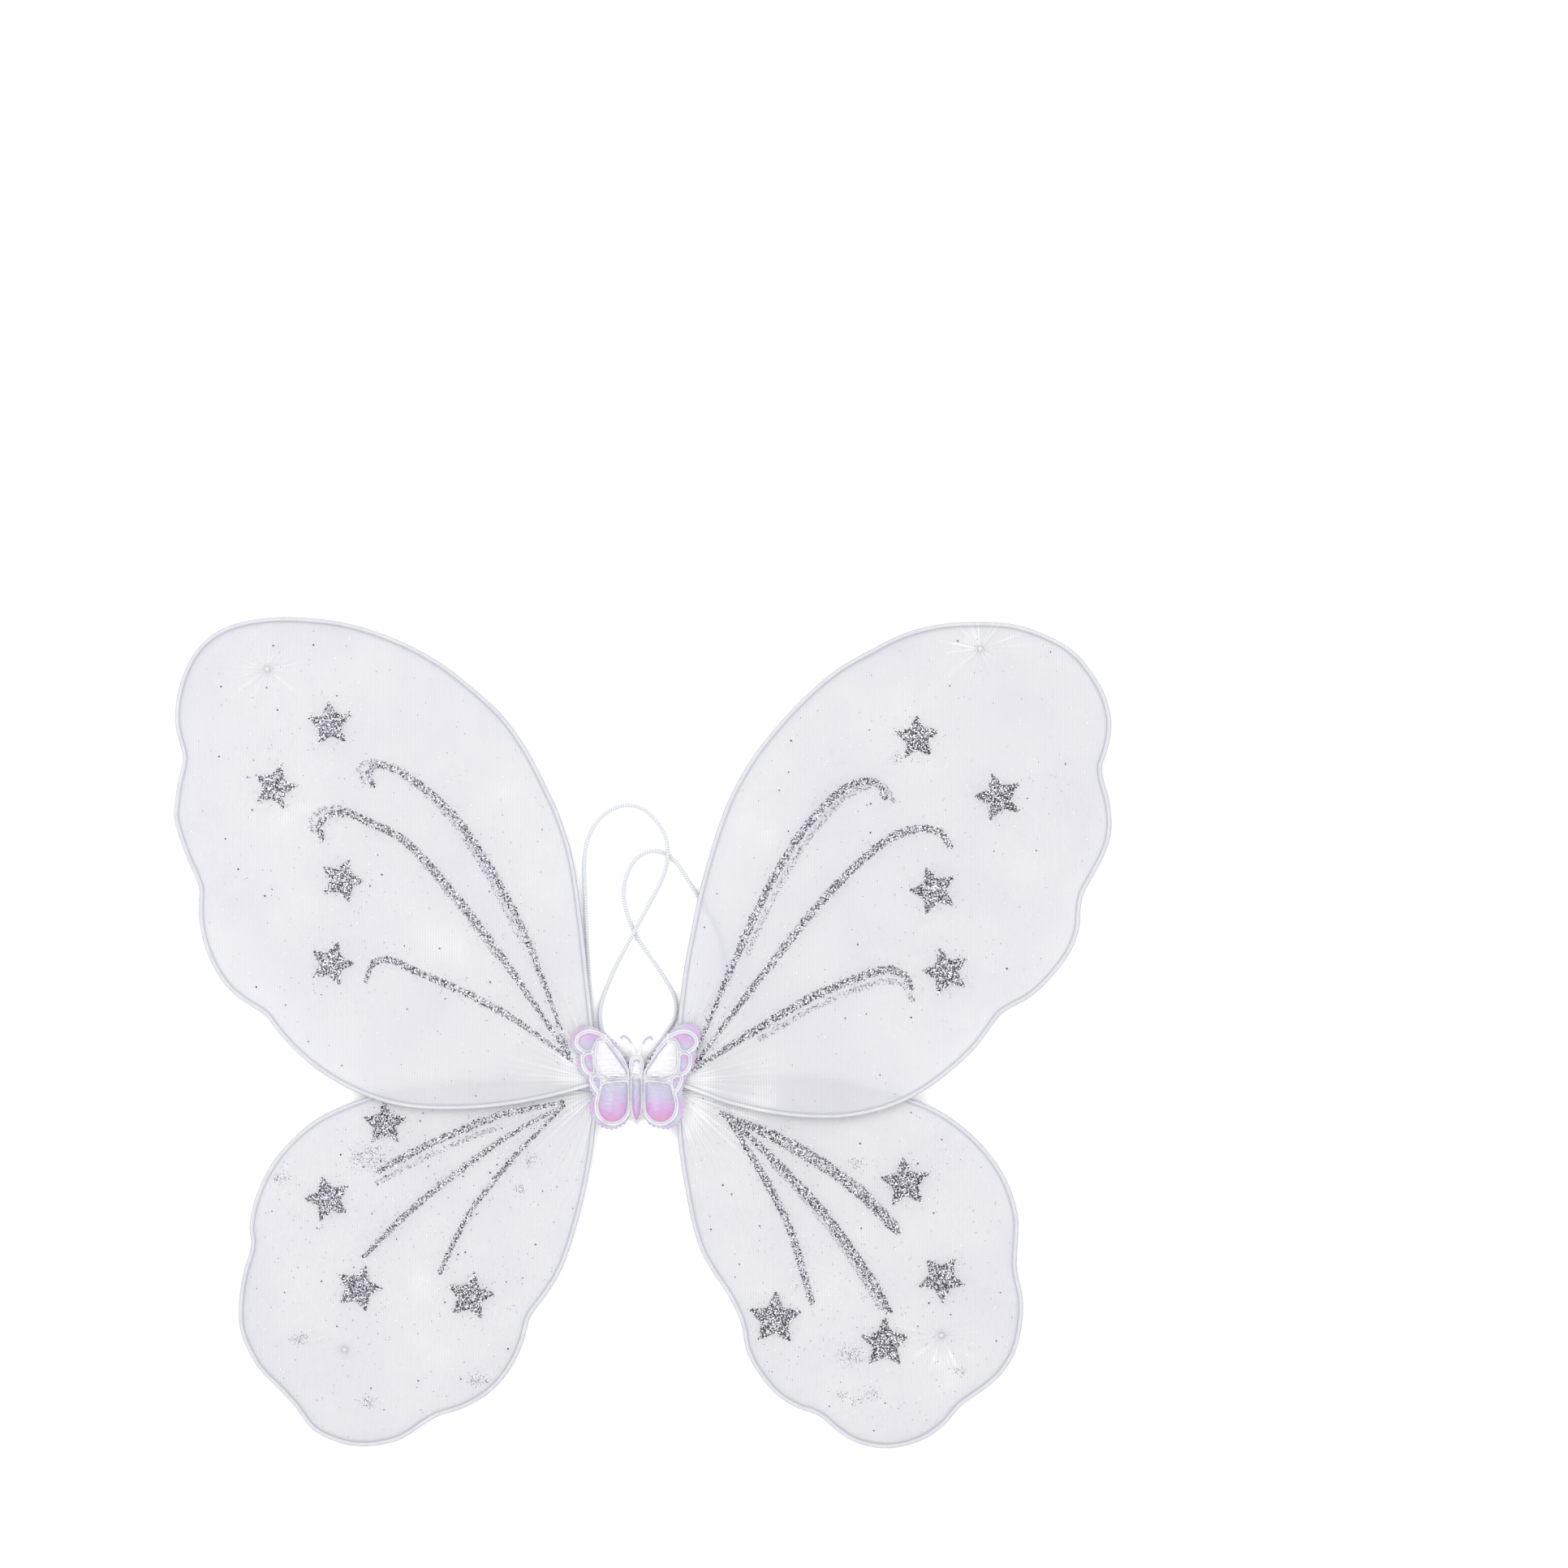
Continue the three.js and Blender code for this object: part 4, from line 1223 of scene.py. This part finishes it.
def glitter(wing):
    low, high = wing.wire.min(axis=0), wing.wire.max(axis=0)
    grid = hex_grid(low, high, FLAKE_GRID)
    grid = grid + chance.uniform(-FLAKE_STRAY, FLAKE_STRAY, grid.shape)
    taken = np.zeros(len(grid), bool)
    share = np.full(len(grid), STAR_COVER)
    strokes = [
        (curve_through([wing.flat(*p) for p in points], 60), half_width)
        for points, half_width in STROKES[wing.name]
    ]
    for line, half_width in strokes:
        distance, along = nearest_on(grid, line)
        limit = stroke_half_width(half_width, along) + chance.normal(0, STROKE_FRAY, len(grid))
        within = distance < limit
        taken |= within
        share[within] = STROKE_COVER - 0.12 * np.sin(math.pi * along[within])
    outlines = [star_outline(wing, star) for star in STARS[wing.name]]
    for outline in outlines:
        close = np.linalg.norm(grid - outline.mean(axis=0), axis=1) < 15
        depth = depth_in(grid[close], outline)
        taken[close] |= depth > chance.normal(-STAR_SPREAD, STAR_FRAY, close.sum())
    main = grid[taken & (chance.uniform(0, 1, len(grid)) < share)]
    sparse, specks = loose_glitter(wing, low, high, strokes, outlines)
    # Each flake's tone is a painted reflection, and so are the ghost flakes' and the specks' tones
    # below.
    objects = [
        flakes(wing, main, painted_reflection_tones(len(main)), **PRINT_FLAKE),
        flakes(wing, sparse, painted_reflection_tones(len(sparse), 0.3), **LOOSE_FLAKE),
    ]
    ghost_points = []
    for index, shift in GHOSTS[wing.name]:
        line, half_width = strokes[index]
        distance, along = nearest_on(grid, line + shift)
        near = (distance < half_width * 0.8) & (along > 0.3) & ~taken
        ghost_points.append(grid[near & (chance.uniform(0, 1, len(grid)) < GHOST_COVER)])
    ghost = clear_of_rim(wing, np.concatenate(ghost_points))
    objects.append(flakes(wing, ghost, chance.uniform(0.2, 0.75, len(ghost)), **GHOST_FLAKE))
    objects.append(flakes(wing, specks, chance.uniform(0, 0.4, len(specks)), **SPECK_FLAKE))
    obj = join(f"{wing.name}_glitter", objects)
    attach(obj, wing.body)
    adhesive_print(wing, strokes, outlines)


def loose_glitter(wing, low, high, strokes, outlines):
    """The places of the flakes that came off and stuck elsewhere, and of a few larger specks."""
    sparse = []
    for x, y, reach in SMEARS[wing.name]:
        count = int(SMEAR_FLAKES * reach * reach)
        spread = chance.normal(0, reach / 2, (count, 2)) * (1.2, 0.8)
        sparse.append(wing.flat(x, y) + spread)
    for line, _ in strokes:
        count = int(length_of(line) * BESIDE_STROKE)
        beside = line[chance.integers(0, len(line), count)]
        sparse.append(beside + chance.normal(0, STROKE_DRIFT, (count, 2)))
    for outline in outlines:
        sparse.append(outline.mean(axis=0) + chance.normal(0, STAR_DRIFT, (BESIDE_STAR, 2)))
    sparse.append(chance.uniform(low, high, (DUST[wing.tier], 2)))
    specks = clear_of_rim(wing, chance.uniform(low, high, (SPECKS, 2)))
    return clear_of_rim(wing, np.concatenate(sparse)), specks


def adhesive_print(wing, strokes, outlines):
    """The thin coat of adhesive under each stroke and star."""
    objects = []
    for line, half_width in strokes:
        line = evenly(line, 110)
        across = left_of(directions(line))
        half = stroke_half_width(half_width, np.linspace(0, 1, len(line)))
        half = half * (0.86 + 0.1 * np.sin(np.arange(len(line)) * 1.9))
        rows = [line + across * (half * share)[:, None] for share in (-1, -0.4, 0.4, 1)]
        flat_points = np.concatenate(rows)
        n = len(line)
        faces = [(r * n + i, r * n + i + 1, (r + 1) * n + i + 1, (r + 1) * n + i)
                 for r in range(3) for i in range(n - 1)]
        objects.append(coat(wing, flat_points, faces))
    for outline in outlines:
        middle = outline.mean(axis=0)
        edge = evenly([*outline, outline[0]], 61)[:-1]
        edge = middle + (edge - middle) * 0.95
        inside = hex_grid(edge.min(axis=0), edge.max(axis=0), 2.2)
        inside = inside[depth_in(inside, edge) > 0.7]
        flat_points, faces = triangles_over(edge, inside)
        objects.append(coat(wing, flat_points, faces))
    obj = join(f"{wing.name}_adhesive", objects)
    solid = obj.modifiers.new("coat", "SOLIDIFY")
    solid.thickness = 0.05 * MM
    finish_modifiers(obj)
    face_outwards(obj)
    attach(obj, wing.body)


def coat(wing, flat_points, faces):
    height = wing.layer_height(flat_points, True) + 0.06
    points = wing.to_frame(np.column_stack([flat_points, height]))
    return piece("coat", points, faces, ADHESIVE)


for side in SIDES:
    root_pieces(side)
    for tier in TIERS:
        wing = Wing(tier, side)
        frame_wire(wing)
        knit_sleeve(wing, [fused_end(wing), neck_bundle(wing)])
        glitter(wing)

# ======== the middle: crimp, glue and pad ========
CRIMP_LENGTH, CRIMP_WALL = 14, 0.75
CRIMP_HALF_HEIGHT = 2.66
CRIMP_DENTS = (-3.4, 3.4)
PAD_HALF_WIDTH, PAD_HALF_HEIGHT, PAD_THICKNESS = 15, 18, 1.4


def crimp():
    """A sheet metal sleeve pressed oval round all the wire ends, with two dents where the pliers closed
    it."""
    bpy.ops.object.select_all(action="DESELECT")
    bpy.ops.mesh.primitive_cylinder_add(
        vertices=56,
        radius=1.0,
        depth=CRIMP_LENGTH * MM,
        end_fill_type="NOTHING",
        location=(0, 0, ROOT_Z * MM),
        rotation=(0, math.pi / 2, 0),
    )
    obj = modelled("pressed_crimp", ZINC)
    place_in_mesh(obj)
    cut_across(np.linspace(-6.6, 6.6, 25) * MM)
    for vertex in obj.data.vertices:
        x = vertex.co.x / MM
        turn = math.atan2(vertex.co.z - ROOT_Z * MM, vertex.co.y)
        dent = sum(math.exp(-(((x - at) / 1.1) ** 2)) for at in CRIMP_DENTS)
        half = CRIMP_HALF_HEIGHT - 0.24 * dent * abs(math.sin(turn)) ** 3
        flare = 0.12 * max(0.0, abs(x) - 6)
        side = math.copysign(1, math.cos(turn)) if abs(math.cos(turn)) > 1e-6 else 0
        y = side * 2.5 * min(1.0, 3 * abs(math.cos(turn))) + (half + flare) * math.cos(turn)
        vertex.co.y = y * MM
        vertex.co.z = (ROOT_Z + (half + flare) * math.sin(turn)) * MM
    wall = obj.modifiers.new("wall", "SOLIDIFY")
    wall.thickness = CRIMP_WALL * MM
    wall.offset = -1
    add_bevel(obj, "deburred_edge", 0.15, 50, segments=2)
    finish_modifiers(obj)
    bpy.ops.object.shade_smooth_by_angle(angle=math.radians(40))
    face_outwards(obj)
    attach(obj, "centre")
    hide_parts("centre_crimp")


def glue_blob(name, node, middle, half, seed):
    """Hot glue squeezed out between two faces, with lobes round its edge."""
    bpy.ops.object.select_all(action="DESELECT")
    bpy.ops.mesh.primitive_uv_sphere_add(segments=48, ring_count=24, radius=MM)
    obj = modelled(name, GLUE)
    lobes = random.Random(seed)
    phases = [lobes.uniform(0, 6) for _ in range(3)]
    for vertex in obj.data.vertices:
        x, y, z = vertex.co / MM
        turn = math.atan2(y, x)
        reach = math.hypot(x, y)
        wave = 1 + 0.09 * math.sin(3 * turn + phases[0]) + 0.07 * math.sin(5 * turn + phases[1])
        wave += 0.05 * math.sin(8 * turn + phases[2]) * reach
        z = math.copysign(min(1.0, abs(z) * 1.5) ** 0.8, z)
        vertex.co = Vector(
            (
                middle[0] + half[0] * x * wave,
                middle[1] + half[1] * y * wave,
                middle[2] + half[2] * z,
            )
        ) * MM
    bpy.ops.object.shade_smooth()
    face_outwards(obj)
    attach(obj, "centre")
    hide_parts(node)


def felt_pad():
    """An oval of felt cut with shears, its edge softened and its faces slightly uneven."""
    bpy.ops.object.select_all(action="DESELECT")
    bpy.ops.mesh.primitive_cylinder_add(
        vertices=96,
        radius=MM,
        depth=PAD_THICKNESS * MM,
        location=(0, 0, PAD_THICKNESS / 2 * MM),
    )
    obj = modelled("felt_back_pad", FELT)
    obj.scale = (PAD_HALF_WIDTH, PAD_HALF_HEIGHT, 1)
    place_in_mesh(obj)
    add_bevel(obj, "soft_edge", 0.3, 50, segments=3)
    finish_modifiers(obj)
    bpy.ops.object.mode_set(mode="EDIT")
    bpy.ops.mesh.select_mode(type="FACE")
    bpy.ops.mesh.select_all(action="DESELECT")
    bpy.ops.object.mode_set(mode="OBJECT")
    for polygon in obj.data.polygons:
        polygon.select = len(polygon.vertices) > 20
    bpy.ops.object.mode_set(mode="EDIT")
    for _ in range(9):
        bpy.ops.mesh.inset(thickness=1.45 * MM)
    bpy.ops.mesh.poke()
    bpy.ops.object.mode_set(mode="OBJECT")
    for vertex in obj.data.vertices:
        x, y = vertex.co.x / MM, vertex.co.y / MM
        if vertex.co.z > PAD_THICKNESS / 2 * MM:
            vertex.co.z += 0.08 * MM * math.sin(0.9 * x + 1) * math.sin(0.7 * y)
        turn = math.atan2(y, x)
        trim = 1 + 0.006 * math.sin(5 * turn) + 0.004 * math.sin(11 * turn)
        vertex.co.x *= trim
        vertex.co.y *= trim
    bpy.ops.object.shade_smooth_by_angle(angle=math.radians(50))
    face_outwards(obj)
    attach(obj, "centre")
    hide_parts("back_pad")


crimp()
felt_pad()
glue_blob("back_hot_glue", "back_glue", (0.3, -0.2, 2.0), (6.2, 4.6, 0.62), 3)
glue_blob("front_hot_glue", "front_glue", (-0.2, 0.3, 8.6), (6.0, 4.4, 0.62), 5)


# ======== the padded butterfly ========
# Outlines in millimetres, from the middle of its body; each pocket is where the film puffs up.
BUTTERFLY_EDGES = {
    "left": [
        (3.4, 7.6), (7.6, 17), (10.7, 21.3), (14.4, 24.7), (17.8, 27.2), (21.6, 28.9), (25.5, 29.1),
        (28.9, 27.9), (31.1, 24.7), (32, 21.8), (30.8, 18.4), (28.2, 16), (28.7, 11.7),
        (28.2, 8.3), (25.8, 5.3), (23.6, 2.9), (22.6, -1.4), (20.9, -4.8), (22.1, -7.7),
        (22.6, -11.6), (21.6, -15), (19.7, -17.4), (16.8, -19.6), (12.4, -20.8), (8.5, -19.6),
        (5.1, -17.4), (3.5, -15),
    ],
    "right": [
        (3.4, 7.3), (7.9, 14.6), (11.8, 21.8), (17.2, 27.2), (23.9, 30.6), (28.8, 29.6),
        (31.2, 24.7), (30.7, 20.9), (28.8, 17.9), (28.8, 14.6), (27.8, 9.7), (25.9, 7.3),
        (23.9, 3.4), (22.5, -0.5), (22.5, -6.3), (22.7, -11.1), (22, -15), (19.6, -18.4),
        (15.2, -20.6), (11.3, -20.1), (7.5, -18.9), (5, -16.6), (3.5, -14),
    ],
}
WING_POCKETS = [
    # (outline, puffed height, how soon it rises, kind)
    ([(15, 22.3), (10.9, 17.4), (7, 11.8), (4.4, 7.4), (4.4, 4.9), (9, 3.9), (14.5, 3.6), (18.6, 6),
      (20, 10), (20.1, 17.2), (18.9, 21.6)], 3.7, 3.4, "upper"),
    ([(4.2, 2.5), (4.1, -4), (4.2, -9), (4.9, -12.9), (7.6, -16.3), (11.5, -17.7), (15.2, -16.8),
      (18.2, -13.6), (19.1, -9), (17.9, -3.6), (16.4, 0.9), (10.6, 2.2)], 3.9, 3.2, "lower"),
    ([(16.4, 24.2), (20.8, 26), (25.2, 26.1), (28, 24.2), (28.9, 21.4), (27.2, 18.9), (24.2, 17.4),
      (21.6, 18.4), (20.7, 21), (19, 23.2)], 1.9, 1.6, "cell_one"),
    ([(25.9, 14.4), (25.6, 10.6), (23.6, 7.4), (21.2, 6.6), (21.3, 11.5), (21.8, 15.6), (24.2, 15.8)],
     1.5, 1.4, "cell_two"),
    ([(19.9, 5.2), (21.6, 4.2), (20.4, 0.4), (18.6, -1.8), (17.6, 0.8), (17.8, 3.6)], 1.1, 1.2,
     "cell_three"),
]
BODY_EDGE = [
    (0, 15.4), (2.4, 14.6), (3.7, 10.8), (3.3, 6.6), (3.2, 1), (3.2, -9), (2.6, -14), (1.5, -17.4),
    (0, -18.9), (-1.5, -17.4), (-2.6, -14), (-3.2, -9), (-3.2, 1), (-3.3, 6.6), (-3.7, 10.8),
    (-2.4, 14.6),
]
BODY_POCKETS = [
    ([(0, 13.8), (1.5, 13.2), (2.4, 9), (2.3, 5.9), (-2.3, 5.9), (-2.4, 9), (-1.5, 13.2)], 1.5, 1.1,
     "head"),
    ([(2.1, 5.2), (2.4, 0), (2.4, -9), (1.7, -14), (0, -17.2), (-1.7, -14), (-2.4, -9), (-2.4, 0),
      (-2.1, 5.2)], 3.2, 1.6, "lower"),
]
ANTENNAE = {
    "left": [(0.7, 13.6), (1.4, 17.5), (2.7, 21.2), (4.6, 23.8), (6.6, 24.6), (7.6, 23.6)],
    "right": [(0.9, 13.8), (1.7, 17.4), (3.2, 21), (4.9, 23.3), (6.9, 24.1), (7.7, 23)],
}
PICOT_PITCH = 2.3
BACKING_BOTTOM, BACKING_TOP = 9.2, 9.7
FLANGE_TOP = 9.95


def picot_edge(points, bare_x):
    """The outline with small round picots pressed along it, except near the body."""
    smooth = curve_through([*points, points[0]], 900)[:-1]
    size = length_of(smooth)
    smooth = evenly([*smooth, smooth[0]], int(size / 0.36))[:-1]
    outwards = -left_of(directions(smooth, closed=True))
    middle = smooth.mean(axis=0)
    if np.sum((smooth - middle) * outwards) < 0:
        outwards = -outwards
    turns = round(size / PICOT_PITCH)
    phase = math.pi * turns * np.arange(len(smooth)) / len(smooth)
    picots = 1.05 * np.abs(np.sin(phase)) ** 0.7 - 0.4
    show = smooth_rise((np.abs(smooth[:, 0]) - bare_x) / 1.5)
    return smooth + outwards * (picots * show)[:, None], phase


def pocket_fields(points, pockets):
    """How deep each point is in its pocket, which pocket that is, and how high the film puffs."""
    deepest = np.full(len(points), -99.0)
    kinds = np.zeros(len(points), int)
    puff = np.zeros(len(points))
    for index, (outline, height, rise, _) in enumerate(pockets):
        smooth = curve_through([*outline, outline[0]], 140)[:-1]
        depth = depth_in(points, smooth)
        closer = depth > deepest
        deepest[closer] = depth[closer]
        kinds[closer] = index
        inside = np.clip(depth, 0, None)
        puff = np.maximum(puff, height * (1 - np.exp(-inside / rise)) ** 0.9)
    return deepest, kinds, puff


def film_hue(x, y, deepest, kinds, pockets):
    """Where the film's interference colour has got to: 0 is white and 1 is warm pink."""
    down = smooth_rise((6.5 - y) / 4) * 0.36 + np.clip((1.5 - y) / 17.5, 0, 1) * 0.62
    names = np.array([p[3] for p in pockets])[kinds]
    # The picot edge is lilac and pink, and the border inside it nearly white.
    mottle = np.sin(x * 0.55 + y * 0.4)
    outside = 0.14 + 0.12 * mottle + (0.44 + 0.08 * mottle) * smooth_rise((-1.5 - deepest) / 0.5)
    inner_edge = 0.72 * np.exp(-((np.clip(deepest, 0, None) / 1.0) ** 2)) * (x < 15) * (y > 6)
    # The upper pockets stay nearly white as a painted highlight, with the film's colour only by their
    # inner edge and below y 6.
    hue = np.where(names == "upper", np.maximum(0.03 + inner_edge, down * 0.9 * (y < 6)), down)
    hue = np.where(names == "lower", down, hue)
    hue = np.where(names == "head", 0.04 + 0.5 * np.exp(-(((y - 12.6) / 0.8) ** 2)), hue)
    hue = np.where(names == "cell_one", 0.42 + 0.42 * np.clip((y - 18) / 7, 0, 1), hue)
    hue = np.where(names == "cell_two", 0.6 + 0.2 * np.sin(y), hue)
    hue = np.where(names == "cell_three", 0.58, hue)
    return np.where(deepest < 0, outside, hue)


def weld_lines(deepest):
    """Two thin pressed lines run round the pockets."""
    return np.exp(-((deepest / 0.26) ** 2)) + 0.9 * np.exp(-(((deepest + 1.15) / 0.24) ** 2))


def painted_groove_shade(x, y, deepest, kinds, pockets):
    """Painted shade in the creases that run across where the pockets meet, and in the grooves along the
    welds.
    """
    beside = np.exp(-(((deepest + 0.58) / 0.26) ** 2))
    beside += 0.8 * np.exp(-(((deepest + 1.75) / 0.24) ** 2))
    beside += 0.7 * np.exp(-(((deepest - 0.5) / 0.22) ** 2))
    sway = 0.9 * np.sin(0.42 * x) + 0.5 * np.sin(1.1 * x + y)
    line = smooth_rise((np.sin(4.4 * y + sway) - 0.62) / 0.38)
    broken = smooth_rise(0.5 + 1.4 * np.sin(0.37 * x + 2.1 * y))
    band = np.exp(-(((y - 4.6) / 2.6) ** 2)) + 0.35 * np.exp(-(((y - 12) / 4) ** 2))
    names = np.array([p[3] for p in pockets])[kinds]
    creases = line * broken * band * (deepest > 0.4) * ((names == "upper") | (y > 0))
    return np.clip(0.62 * beside + 0.8 * creases, 0, 0.8)


FILM_GRID = 0.44


def film_part(name, side, edge_points, pockets, bare_x):
    """The puffed film over its pockets, closed underneath. Its swell is worked out by formula."""
    edge, phase = picot_edge(edge_points, bare_x)
    low, high = edge.min(axis=0), edge.max(axis=0)
    inside = hex_grid(low, high, FILM_GRID)
    inside = inside[depth_in(inside, edge[::2]) > 0.3]
    flat_points, triangles = triangles_over(edge, inside)
    x, y = flat_points[:, 0], flat_points[:, 1]
    deepest, kinds, puff = pocket_fields(flat_points, pockets)
    weld = np.clip(weld_lines(deepest), 0, 1)
    in_pocket = smooth_rise(deepest / 0.8)
    # Wrinkles run across where the upper and lower pockets pull on each other, and small
    # puckers stand along every weld.
    across = np.exp(-(((y - 4.2) / 3.6) ** 2)) * np.sin(2.4 * y + 0.8 * np.sin(0.5 * x) + 0.3 * x)
    fine = 0.10 * np.sin(5.2 * y + 1.5 * np.sin(0.35 * x) + side) * in_pocket
    pucker = 0.16 * np.sin(1.35 * (x - 0.7 * y)) * np.exp(-(((deepest - 1.2) / 0.9) ** 2))
    wrinkle = in_pocket * (0.34 * across + fine + pucker)
    top = FLANGE_TOP + puff + wrinkle + 0.22 * weld
    count = len(edge)
    bead = 0.12 * np.abs(np.sin(phase))
    top[:count] = FLANGE_TOP - 0.04 + bead
    bottom = np.full(count, BACKING_TOP + 0.02)
    total = len(flat_points)
    points = np.concatenate(
        [np.column_stack([flat_points, top]), np.column_stack([edge, bottom])]
    )
    _, under = triangles_over(edge, [])
    faces = [*triangles, *[tuple(total + i for i in reversed(t)) for t in under]]
    for i in range(count):
        j = (i + 1) % count
        faces.append((i, total + i, total + j, j))
    # The edge's lower points, at the backing, look like those above them.
    hue = film_hue(x, y, deepest, kinds, pockets)
    hue = np.concatenate([hue, hue[:count]])
    groove = painted_groove_shade(x, y, deepest, kinds, pockets)
    groove = np.concatenate([groove, groove[:count]])
    weld = np.concatenate([weld, weld[:count] * 0])
    points[:, 0] *= side
    obj = piece(name, points * MM, faces, FILM)
    set_values(obj, "hue", hue)
    set_values(obj, "weld", weld)
    set_values(obj, "groove", groove)
    face_outwards(obj)
    return obj, edge


def backing_part(name, side, edge, material):
    """The flat sheet that the film is welded to, cut to the same picot edge."""
    bpy.ops.object.select_all(action="DESELECT")
    bpy.ops.mesh.primitive_circle_add(vertices=len(edge), radius=MM, fill_type="NGON")
    obj = modelled(name, material)
    for vertex, (x, y) in zip(obj.data.vertices, edge):
        vertex.co = (side * x * MM, y * MM, BACKING_BOTTOM * MM)
    bpy.ops.object.mode_set(mode="EDIT")
    bpy.ops.mesh.select_all(action="SELECT")
    rise = (BACKING_TOP - BACKING_BOTTOM) * MM
    bpy.ops.mesh.extrude_region_move(TRANSFORM_OT_translate={"value": (0, 0, rise)})
    bpy.ops.mesh.select_all(action="SELECT")
    bpy.ops.mesh.quads_convert_to_tris(ngon_method="CLIP")
    bpy.ops.object.mode_set(mode="OBJECT")
    face_outwards(obj)
    return obj


def flexing(obj):
    """Moves the piece's place and turn into its mesh."""
    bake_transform(obj)


ANTENNA_HALF_WIDTH, ANTENNA_FLATNESS = 0.78, 0.3
ANTENNA_RIM_REACH, ANTENNA_RIM_RISE, ANTENNA_RIM_RADIUS = 0.62, 0.16, 0.14


def butterfly_wing(side):
    node = f"butterfly_{side}_wing"
    film, edge = film_part(f"{node}_pearl", SIDES[side], BUTTERFLY_EDGES[side], WING_POCKETS, 4.5)
    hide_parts(f"{node}_film", f"{node}_padding")
    flexing(film)
    backing = backing_part(f"{node}_backing_sheet", SIDES[side], edge, FELT)
    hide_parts(f"{node}_backing")
    flexing(backing)


def butterfly_body():
    film, edge = film_part("butterfly_body_pearl", 1, BODY_EDGE, BODY_POCKETS, 99)
    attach(film, "centre")
    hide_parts("butterfly_body_film", "butterfly_body_padding")
    backing = backing_part("butterfly_body_backing_sheet", 1, edge, FELT)
    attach(backing, "centre")
    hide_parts("butterfly_body_backing")


def curled_antenna(side):
    """A flat strip of film cut in a curl, with a pressed rim along both edges."""
    line = curve_through(ANTENNAE[side], 60)
    heights = np.full(len(line), BACKING_TOP + 0.05)
    line = np.column_stack([line[:, 0] * SIDES[side], line[:, 1], heights])
    name = f"{side}_curled_antenna"
    stem = round_along(name, line * MM, ANTENNA_HALF_WIDTH * MM, 12, FILM, flat=ANTENNA_FLATNESS)
    hue = [0.12 + 0.5 * smooth_rise((v.co.y / MM - 20) / 3) for v in stem.data.vertices]
    set_values(stem, "hue", hue)
    set_values(stem, "weld", [0.0] * len(hue))
    sideways = left_of(directions(line[:, :2]))
    rims = []
    for lean in (-1, 1):
        edge = line.copy()
        edge[:, :2] += lean * ANTENNA_RIM_REACH * sideways
        edge[:, 2] += ANTENNA_RIM_RISE
        rim = round_along("rim", edge * MM, ANTENNA_RIM_RADIUS * MM, 6, FILM)
        set_values(rim, "hue", [0.3] * len(rim.data.vertices))
        set_values(rim, "weld", [0.9] * len(rim.data.vertices))
        rims.append(rim)
    obj = join(name, [stem, *rims])
    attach(obj, "centre")
    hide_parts(f"{side}_antenna")


for side in SIDES:
    butterfly_wing(side)
    curled_antenna(side)
butterfly_body()
